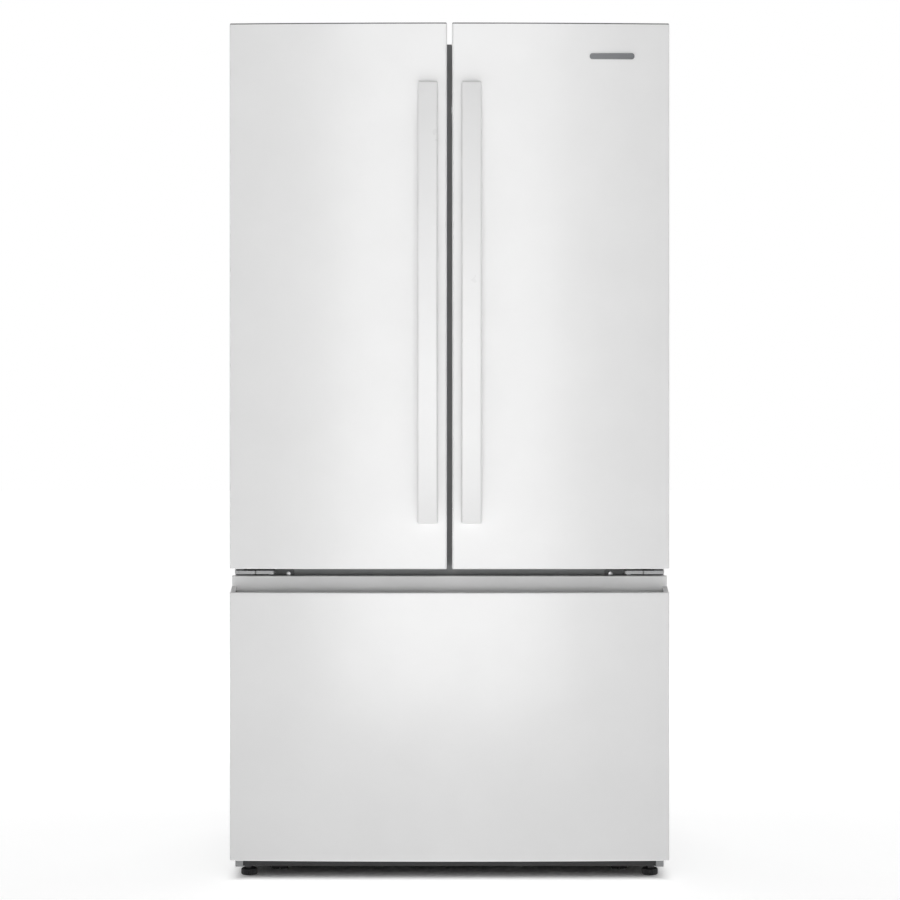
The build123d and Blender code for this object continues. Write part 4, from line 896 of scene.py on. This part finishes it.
def rollers(node_name, body, width, radius):
    """Two grooved rollers on their axle line."""
    low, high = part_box(node_name)
    y = (low.y + high.y) / 2
    z = (low.z + high.z) / 2
    half = width / 2
    outer_half = [
        (4.1 * MM, -half),
        (radius * 0.5, -half),
        (radius * 0.55, -half + 2 * MM),
        (radius * 0.82, -half + 2 * MM),
        (radius * 0.86, -half),
        (radius - 1.5 * MM, -half),
        (radius, -half + 1.5 * MM),
        (radius, -1.5 * MM),
        (radius - 1.2 * MM, -0.7 * MM),
    ]
    profile = outer_half + [(r, -h) for r, h in outer_half[::-1]]
    wheels = join_parts([turned(profile, (side * (high.x - half), y, z)) for side in SIDES])
    build(node_name + "_wheels", wheels, body, TIRE, [node_name])


for side in SIDES:
    levelling_foot(side)
rollers("front_rollers", "front_wheels", 32 * MM, 17 * MM)
rollers("rear_rollers", "rear_wheels", 20 * MM, 20 * MM)


# ------------------------------------------------------------------ hinges
def center_hinge(side):
    """Bent bracket under one door with its bush, cam and two screws."""
    name, flip = SIDES[side]
    pin_x, pin_y = HINGE_PIN
    low_z, high_z = DRAWER_TOP + 5 * MM, DRAWER_TOP + 12.2 * MM
    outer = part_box("center_hinges")[0].x
    seam = outer + 43 * MM
    rear = FACE_Y - 0.2 * MM

    def arm_outline(inset):
        nose = 14 * MM - inset
        front = pin_y - 12 * MM + inset
        points = arc_points(pin_x, front + nose, nose, 180, 270, 6)
        return points + [(seam - inset, front), (seam - inset, rear), (outer + inset, rear)]

    arm = prism(arm_outline, (low_z, high_z), 0.8 * MM, 0.8 * MM, upright)
    tongue = rounded_block(
        (seam + 1.2 * MM, pin_y - 10 * MM, low_z), (outer + 82 * MM, rear, high_z), 3 * MM, 0.8 * MM
    )
    bridge = rounded_block(
        (seam - 4 * MM, pin_y - 4 * MM, low_z + 1 * MM),
        (seam + 6 * MM, FACE_Y - 0.3 * MM, high_z - 1 * MM),
        1 * MM,
    )
    gusset = rounded_block(
        (outer + 32 * MM, pin_y + 12 * MM, high_z - 9 * MM),
        (outer + 36 * MM, FACE_Y - 1 * MM, high_z - 1 * MM),
        1 * MM,
    )
    bracket = flip(join_parts([arm, tongue, bridge, gusset]))
    build(f"{name}_center_hinge", bracket, "cabinet", HINGE_PAINT, ["center_hinges"])
    flange = rounded_block(
        (outer, FACE_Y - 3 * MM, high_z - 21 * MM),
        (outer + 120 * MM, FACE_Y - 0.1 * MM, high_z - 0.4 * MM),
        4 * MM,
        0.5 * MM,
        "y",
    )
    build(f"{name}_hinge_flange", flip(flange), "cabinet", CAP_GREY, [])
    cam_top = DOOR_LOW.z - 0.35 * MM
    cam_profile = [
        (ON_AXIS, high_z),
        (10.6 * MM, high_z),
        (11 * MM, high_z + 0.4 * MM),
        (11 * MM, high_z + 3 * MM),
        (9.4 * MM, high_z + 3.6 * MM),
        (9.4 * MM, cam_top - 0.4 * MM),
        (9 * MM, cam_top),
        (ON_AXIS, cam_top),
    ]
    cam = lathe(cam_profile, (pin_x, pin_y, 0), 40)
    build(f"{name}_hinge_cam", flip(cam), "cabinet", CAP_GREY, [])
    foot, tip = cam_top - 1 * MM, cam_top + 18 * MM
    stem_profile = [(ON_AXIS, foot), (PIN_RADIUS, foot), (PIN_RADIUS, tip), (ON_AXIS, tip + 2 * MM)]
    stem = lathe(stem_profile, (pin_x, pin_y, 0))
    build(f"{name}_hinge_pin", flip(stem), "cabinet", ZINC, [])
    places = [(outer + reach * MM, FACE_Y - 3 * MM, high_z - 10 * MM) for reach in (108, 70)]
    screws = join_parts([screw(place, 4.5 * MM, 2.5 * MM, -1) for place in places])
    build(f"{name}_hinge_screws", flip(screws), "cabinet", ZINC, [])


def top_hinge(side):
    """Arm, base and pin on the cabinet top, under a moulded cover."""
    name, flip = SIDES[side]
    pin_x, pin_y = HINGE_PIN
    low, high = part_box("top_hinges")
    arm_low = high.z - 4 * MM
    roof = SHELL_HIGH.z

    def arm_outline(inset):
        r = 8 * MM - inset
        rear = FACE_Y + 14 * MM
        return arc_points(pin_x, pin_y, r, 180, 360, 12) + [(pin_x + r, rear), (pin_x - r, rear)]

    arm = prism(arm_outline, (arm_low, high.z), 0.8 * MM, 0.8 * MM, upright)
    base = rounded_block(
        (low.x, FACE_Y + 12 * MM, roof), (low.x + 76 * MM, FACE_Y + 78 * MM, high.z), 4 * MM, 1 * MM
    )
    stem_profile = [
        (ON_AXIS, low.z),
        (3.2 * MM, low.z),
        (PIN_RADIUS, low.z + 1.5 * MM),
        (PIN_RADIUS, arm_low),
        (ON_AXIS, arm_low),
    ]
    stem = lathe(stem_profile, (pin_x, pin_y, 0))
    rivet_profile = [
        (ON_AXIS, high.z),
        (5.4 * MM, high.z),
        (5 * MM, high.z + 1.2 * MM),
        (ON_AXIS, high.z + 1.8 * MM),
    ]
    rivet = lathe(rivet_profile, (pin_x, pin_y, 0))
    hinge = flip(join_parts([arm, base, stem, rivet]))
    covered = ["top_hinges", "hinge_screws"]
    build(f"{name}_top_hinge", hinge, "cabinet", ZINC, covered)
    cover_low, cover_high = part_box("hinge_covers")
    top = cover_high.z
    cover_x = (cover_low.x, cover_low.x + 100 * MM)
    cover = rounded_block(
        (cover_x[0], cover_low.y, roof), (cover_x[1], cover_high.y, top), 8 * MM, 3 * MM
    )
    piece = build(f"{name}_hinge_cover", flip(cover), "cabinet", CAP_GREY, ["hinge_covers"])
    mouth = rounded_block(
        (pin_x - 9 * MM, cover_low.y - 5 * MM, roof - 1 * MM),
        (pin_x + 9 * MM, cover_low.y + 10 * MM, high.z + 1.5 * MM),
        1 * MM,
    )
    cut(piece, flip(mouth))
    groove_profile = [
        (6 * MM, top - 0.8 * MM),
        (7 * MM, top - 0.8 * MM),
        (7 * MM, top + 1 * MM),
        (6 * MM, top + 1 * MM),
    ]
    groove = frame_sweep(groove_profile, cover_x, (cover_low.y, cover_high.y), upright)
    cut(piece, flip(groove))
    head_profile = [
        (ON_AXIS, top - 1 * MM),
        (4.6 * MM, top - 1 * MM),
        (4.6 * MM, top - 0.2 * MM),
        (2 * MM, top),
        (ON_AXIS, top - 0.6 * MM),
    ]
    head = lathe(head_profile, (cover_low.x + 66 * MM, cover_low.y + 48 * MM, 0))
    build(f"{name}_cover_screw", flip(head), "cabinet", ZINC, [])


for side in SIDES:
    center_hinge(side)
for side in SIDES:
    top_hinge(side)


# ------------------------------------------------------------------ gaskets
# (millimetres in from the seal's outer edge, share of its depth)
GASKET_PROFILE = [
    (0.5, 0.0), (13.5, 0.0), (14.0, 0.03), (12.6, 0.12), (13.8, 0.24), (13.8, 0.34), (11.8, 0.45),
    (13.9, 0.56), (13.9, 0.94), (13.2, 1.0), (0.8, 1.0), (0.1, 0.94), (0.1, 0.56), (2.2, 0.45),
    (0.2, 0.34), (0.2, 0.24), (1.4, 0.12), (0.0, 0.03),
]


def gasket(node_name, body):
    """Magnetic seal with its bellows, mitred at the corners."""
    low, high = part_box(node_name)
    depth = high.y - low.y
    profile = [(inset * MM, low.y + share * depth) for inset, share in GASKET_PROFILE]
    part = frame_sweep(profile, (low.x, high.x), (low.z, high.z), along_y)
    build(node_name + "_seal", part, body, GASKET, [node_name], 30)


gasket("left_door_gasket", "left_door")
gasket("right_door_gasket", "right_door")
gasket("freezer_drawer_gasket", "freezer_drawer")


# ------------------------------------------------------------------ back of the cabinet
def back_sheets():
    """Back panel with pressed beads and screws, and the slotted machine cover under it."""
    low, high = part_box("back_panel")
    cover_low, cover_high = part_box("machine_cover")
    face = high.y - SHEET
    split = cover_high.z + 0.7 * MM

    def on_back(u, v, w):
        """Outline seen from behind, with its thickness going in from the face."""
        return (u, face - w, v)

    panel = plate(round_rect((low.x, high.x), (split, high.z), 3 * MM, 3), [], SHEET, on_back)
    crest = face + 1.1 * MM
    profile = [(0.0, face), (3 * MM, crest), (9 * MM, crest), (12 * MM, face)]
    bead_x = (low.x + 70 * MM, high.x - 70 * MM)
    bead_heights = ((split + 60 * MM, 0.80), (0.86, 1.24), (1.30, high.z - 60 * MM))
    beads = [frame_sweep(profile, bead_x, heights, along_y) for heights in bead_heights]
    sheet = join_parts([panel] + beads)
    build("back_sheet", sheet, "cabinet", GALVANIZED, ["back_panel"], 20)
    outline = round_rect((cover_low.x, cover_high.x), (cover_low.z, cover_high.z), 3 * MM, 3)
    middle = (cover_low.z + cover_high.z) / 2
    centers = [side * 0.225 + (i - 7.5) * 18 * MM for side in SIDES for i in range(16)]
    holes = [around(x, middle, 3 * MM, 30 * MM, 3 * MM, 4) for x in centers]
    cover = plate(outline, holes, SHEET, on_back)
    build("machine_sheet", cover, "cabinet", GALVANIZED, ["machine_cover"], 20)
    top_row = high.z - 12 * MM
    rows = [
        ((low.x + 12 * MM, high.x - 12 * MM), (split + 12 * MM, 0.55, 0.83, 1.1, 1.27, 1.5, top_row)),
        ((-0.3, -0.1, 0.1, 0.3), (top_row,)),
        ((-0.43, -0.21, 0.0, 0.21, 0.43), (cover_low.z + 10 * MM, cover_high.z - 10 * MM)),
    ]
    places = [(x, face, z) for across, heights in rows for z in heights for x in across]
    screws = join_parts([screw(place, 4 * MM, 1.1 * MM, 1) for place in places])
    build("back_screws", screws, "cabinet", ZINC, [])


back_sheets()


# ------------------------------------------------------------------ compartments
ROOM_LOW = LINER_LOW.z + WALL_GAP
ROOM_HIGH = LINER_HIGH.z - WALL_GAP


def liner(low, high, front, back):
    """A vacuum-formed compartment with rounded inner corners and a face flange."""
    rings = []

    def ring(inset, y, radius):
        limits_x = (low[0] + inset, high[0] - inset)
        limits_z = (low[1] + inset, high[1] - inset)
        rings.append([(px, y, pz) for px, pz in round_rect(limits_x, limits_z, radius, 6)])

    ring(-2 * MM, back + 2 * MM, 20 * MM)
    ring(-2 * MM, front + 0.2 * MM, 6 * MM)
    ring(-1 * MM, front, 5 * MM)
    ring(0.6 * MM, front, 5 * MM)
    ring(2 * MM, front + 2 * MM, 6 * MM)
    ring(1 * MM, front + 12 * MM, 16 * MM)
    ring(0, front + 60 * MM, 18 * MM)
    for i in range(6):
        turn = math.pi / 2 * i / 5
        ring(16 * MM * (1 - math.cos(turn)), back - 16 * MM * (1 - math.sin(turn)), 18 * MM)
    return loft(rings)


def fridge_room():
    """Fresh food compartment and the air duct on its back wall, with the duct's vents."""
    back = LINER_HIGH.y - WALL_GAP
    part = liner((LINER_LOW.x + WALL_GAP, ROOM_LOW), (LINER_HIGH.x - WALL_GAP, ROOM_HIGH), FACE_Y, back)
    build("fridge_room", part, "cabinet", LINER, ["fridge_liner"])
    duct = rounded_block((-12 * MM, back - 9 * MM, 1.05), (12 * MM, back + 1 * MM, 1.62), 6 * MM, 3 * MM)
    piece = build("air_duct", duct, "cabinet", LINER, [])
    vents = []
    for low_z in [start + i * 9 * MM for start in (1.13, 1.33, 1.54) for i in range(4)]:
        low, high = (-8 * MM, back - 12 * MM, low_z), (8 * MM, back - 5 * MM, low_z + 4 * MM)
        vents.append(rounded_block(low, high, 1.5 * MM))
    cut(piece, join_parts(vents))


def tracks():
    """Slotted shelf tracks on the back wall."""
    low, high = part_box("shelf_tracks")
    parts = []

    def on_wall(u, v, w):
        """Outline seen from the front, with its thickness going back."""
        return (u, low.y + w, v)

    for x in (low.x + 8 * MM, -20 * MM, 20 * MM, high.x - 8 * MM):
        count = int((high.z - low.z - 0.03) / 0.02)
        heights = [low.z + 0.025 + i * 0.02 for i in range(count)]
        holes = [around(x, z, 2 * MM, 5 * MM, 1 * MM, 3) for z in heights]
        outline = round_rect((x - 8 * MM, x + 8 * MM), (low.z, high.z), 1.5 * MM, 3)
        parts.append(plate(outline, holes, 1.4 * MM, on_wall))
        for edge in (x - 8 * MM, x + 6.8 * MM):
            corner = (edge, low.y + 0.6 * MM, low.z)
            parts.append(rounded_block(corner, (edge + 1.2 * MM, high.y, high.z), 0.3 * MM))
    rails = join_parts(parts)
    build("track_rails", rails, "cabinet", WHITE_TRIM, ["shelf_tracks"], 25)


def shelf(name, x, y, top):
    """A glass shelf in a moulded frame."""
    bottom = top - SHELF_THICKNESS
    seat = top - 4.2 * MM
    profile = [
        (0.0, bottom + 2 * MM),
        (2 * MM, bottom),
        (14 * MM, bottom),
        (16 * MM, bottom + 1 * MM),
        (16 * MM, seat),
        (8.2 * MM, seat),
        (8.2 * MM, top),
        (2.5 * MM, top),
        (0.0, top - 2.5 * MM),
    ]
    part = frame_sweep(profile, x, y, upright)
    build(f"{name}_frame", part, "cabinet", BASKET, ["shelf_frames"], 30)
    inset = 8.4 * MM
    glass = rounded_block(
        (x[0] + inset, y[0] + inset, top - 4 * MM),
        (x[1] - inset, y[1] - inset, top - 0.3 * MM),
        2 * MM,
        0.5 * MM,
    )
    build(f"{name}_glass", glass, "cabinet", GLASS, ["glass_panes"])


def shelves():
    """Two full-width covers and four half-width shelves."""
    low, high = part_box("shelf_frames")
    y = (low.y, high.y)
    deck = ROOM_LOW + DECK_RISE
    cover = deck + CRISPER_RISE
    space = (ROOM_HIGH - 20 * MM - cover) / 3
    half = high.x
    shelf("deck", (-half, half), y, deck)
    shelf("crisper_cover", (-half, half), y, cover)
    for level, top in (("middle", cover + space), ("top", cover + 2 * space)):
        shelf(f"left_{level}_shelf", (-half + 4 * MM, -6 * MM), y, top)
        shelf(f"right_{level}_shelf", (6 * MM, half - 4 * MM), y, top)


fridge_room()
tracks()
shelves()


# ------------------------------------------------------------------ drawers and bins
def clear_drawer(node_name, body, grip_inset):
    """A clear drawer with a rolled rim and a moulded grip across its front."""
    low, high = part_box(node_name)
    x = (low.x, high.x)
    front = low.y + 14 * MM
    tub = basin(x, (front, high.y), (low.z, high.z), 2.2 * MM, 20 * MM, 5 * MM, 9 * MM, 2 * MM)
    build(f"{node_name}_tub", tub, body, CLEAR, [node_name], 40)
    grip_z = (high.z - 27 * MM, high.z - 19 * MM)
    grip = cross_bar(x, (low.y, front + 2 * MM), grip_z, grip_inset, 4 * MM, 3 * MM)
    trim_y = (front - 1.2 * MM, front + 1.4 * MM)
    trim = cross_bar(x, trim_y, (high.z - 34 * MM, high.z - 3 * MM), 14 * MM, 1 * MM, 1 * MM)
    build(f"{node_name}_grip", join_parts([grip, trim]), body, WHITE_TRIM, [])


def door_bin(name, body, x, y, z, height, node_name):
    """A clear door bin with a white front band."""
    top = z + height
    tub = basin(x, y, (z, top), 2.4 * MM, 15 * MM, 3 * MM, 7 * MM, 1.6 * MM)
    build(f"{name}_tub", tub, body, CLEAR, [node_name], 40)
    band_z = (top - 26 * MM, top - 1.5 * MM)
    band = cross_bar(x, (y[1] - 1.6 * MM, y[1]), band_z, 14 * MM, 1 * MM, 0.7 * MM)
    build(f"{name}_band", band, body, WHITE_TRIM, [])


def bins():
    """Three bins on the left door; two bins and the dairy bin on the right."""
    low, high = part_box("left_door_bins")
    height = 105 * MM
    pitch = (high.z - low.z - height) / 2
    y = (low.y, high.y)
    x = (-high.x, -low.x)
    for i, level in enumerate(("low", "middle", "high")):
        z = low.z + i * pitch
        door_bin(f"left_{level}_bin", "left_door", (low.x, high.x), y, z, height, "left_door_bins")
        if level != "high":
            door_bin(f"right_{level}_bin", "right_door", x, y, z, height, "right_door_bins")
    lid_low, lid_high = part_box("dairy_lid")
    dairy_z = ROOM_HIGH - 205 * MM
    door_bin("dairy_bin", "right_door", x, y, dairy_z, 90 * MM, "right_door_bins")
    ears = []
    for edge in (x[0], x[1] - 4 * MM):
        corner = (edge + 4 * MM, y[0] + 15.5 * MM, lid_high.z + 2.5 * MM)
        ears.append(rounded_block((edge, y[0], dairy_z + 40 * MM), corner, 4 * MM, 0.6 * MM, "x"))
    build("dairy_ears", join_parts(ears), "right_door", WHITE_TRIM, [])
    middle = (lid_low.z + lid_high.z) / 2
    lid_z = (middle - 1.4 * MM, middle + 1.4 * MM)
    lid = cross_bar(x, (lid_low.y, lid_high.y - 3 * MM), lid_z, 4.6 * MM, 1.2 * MM, 1.2 * MM)
    lip_z = (middle - 1.5 * MM, middle + 1.5 * MM)
    lip = cross_bar(x, (lid_high.y - 4 * MM, lid_high.y), lip_z, 4.6 * MM, 1.4 * MM, 1 * MM)
    build("dairy_cover", join_parts([lid, lip]), "dairy_cover", CLEAR, ["dairy_lid"])


def basket(node_name, body, inset, ledge_z, ledge_ends):
    """A slotted freezer basket with a rolled rim and side ledges."""
    low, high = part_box(node_name)
    x = (low.x + inset, high.x - inset)
    y = (low.y, high.y)
    tub = basin(x, y, (low.z, high.z), 3 * MM, 22 * MM, 8 * MM, 12 * MM, 3 * MM)
    piece = build(f"{node_name}_tub", tub, body, BASKET, [node_name], 40)
    slots = []
    for i in range(24):
        u = x[0] + 45 * MM + (x[1] - x[0] - 90 * MM) * i / 23
        slot_low = (u - 4 * MM, y[0] - 5 * MM, low.z + 30 * MM)
        slot_high = (u + 4 * MM, y[0] + 20 * MM, high.z - 30 * MM)
        slots.append(rounded_block(slot_low, slot_high, 3.5 * MM, 0.1 * MM, "y"))
    cut(piece, join_parts(slots))
    ledges = []
    for side in SIDES:
        limits = sorted((side * (x[1] - 2 * MM), side * high.x))
        ledge_low = (limits[0], y[0] + ledge_ends[0], ledge_z[0])
        ledge_high = (limits[1], y[1] - ledge_ends[1], ledge_z[1])
        ledges.append(rounded_block(ledge_low, ledge_high, 1.5 * MM, 1 * MM, "y"))
    build(f"{node_name}_ledges", join_parts(ledges), body, BASKET, [])


clear_drawer("left_crisper", "left_crisper_drawer", 60 * MM)
clear_drawer("right_crisper", "right_crisper_drawer", 60 * MM)
clear_drawer("deli_drawer", "deli", 160 * MM)
bins()
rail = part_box("drawer_rails_middle")[0].z
ledge = (rail - 4.5 * MM, rail - 0.5 * MM)
basket("freezer_basket", "freezer_drawer", 15 * MM, ledge, (25 * MM, 25 * MM))
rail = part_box("upper_basket")[0].z
ledge = (rail + 57.5 * MM, rail + 63.5 * MM)
basket("upper_basket", "upper_freezer_basket", 22 * MM, ledge, (30 * MM, 10 * MM))

# ------------------------------------------------------------------ materials on CAD nodes that stay
paint(STEEL, "drawer_rails_inner", "drawer_rails_middle", "drawer_rails_outer")
# the cabinet shell and centre rail take grey painted shade for their face seen in the gaps
paint(SHADE_GREY_PAINT, "cabinet_shell", "center_rail")
paint(BLACK_PAINT, "base_frame", "compressor")
paint(BLACK_PLASTIC, "condenser_fan_blade", "evaporator_fan_blade", "fan_motors")
paint(MULLION_GREY, "mullion_bar")
paint(LINER, "freezer_liner", "left_door_liner", "right_door_liner", "freezer_drawer_liner")
paint(LINER, "evaporator_cover", "control_panel")
paint(FOAM, "cabinet_foam")
paint(BADGE, "badge_plate")
paint(BUTTON, "temperature_button")
paint(FROST, "light_lens")
paint(COIL, "condenser_coil", "evaporator")

soften(0.6 * MM, "cabinet_shell", "center_rail", "base_frame")
soften(2.5 * MM, "freezer_liner", "left_door_liner", "right_door_liner", "freezer_drawer_liner")
soften(0.8 * MM, "drawer_rails_inner", "drawer_rails_middle", "drawer_rails_outer", "evaporator_cover")
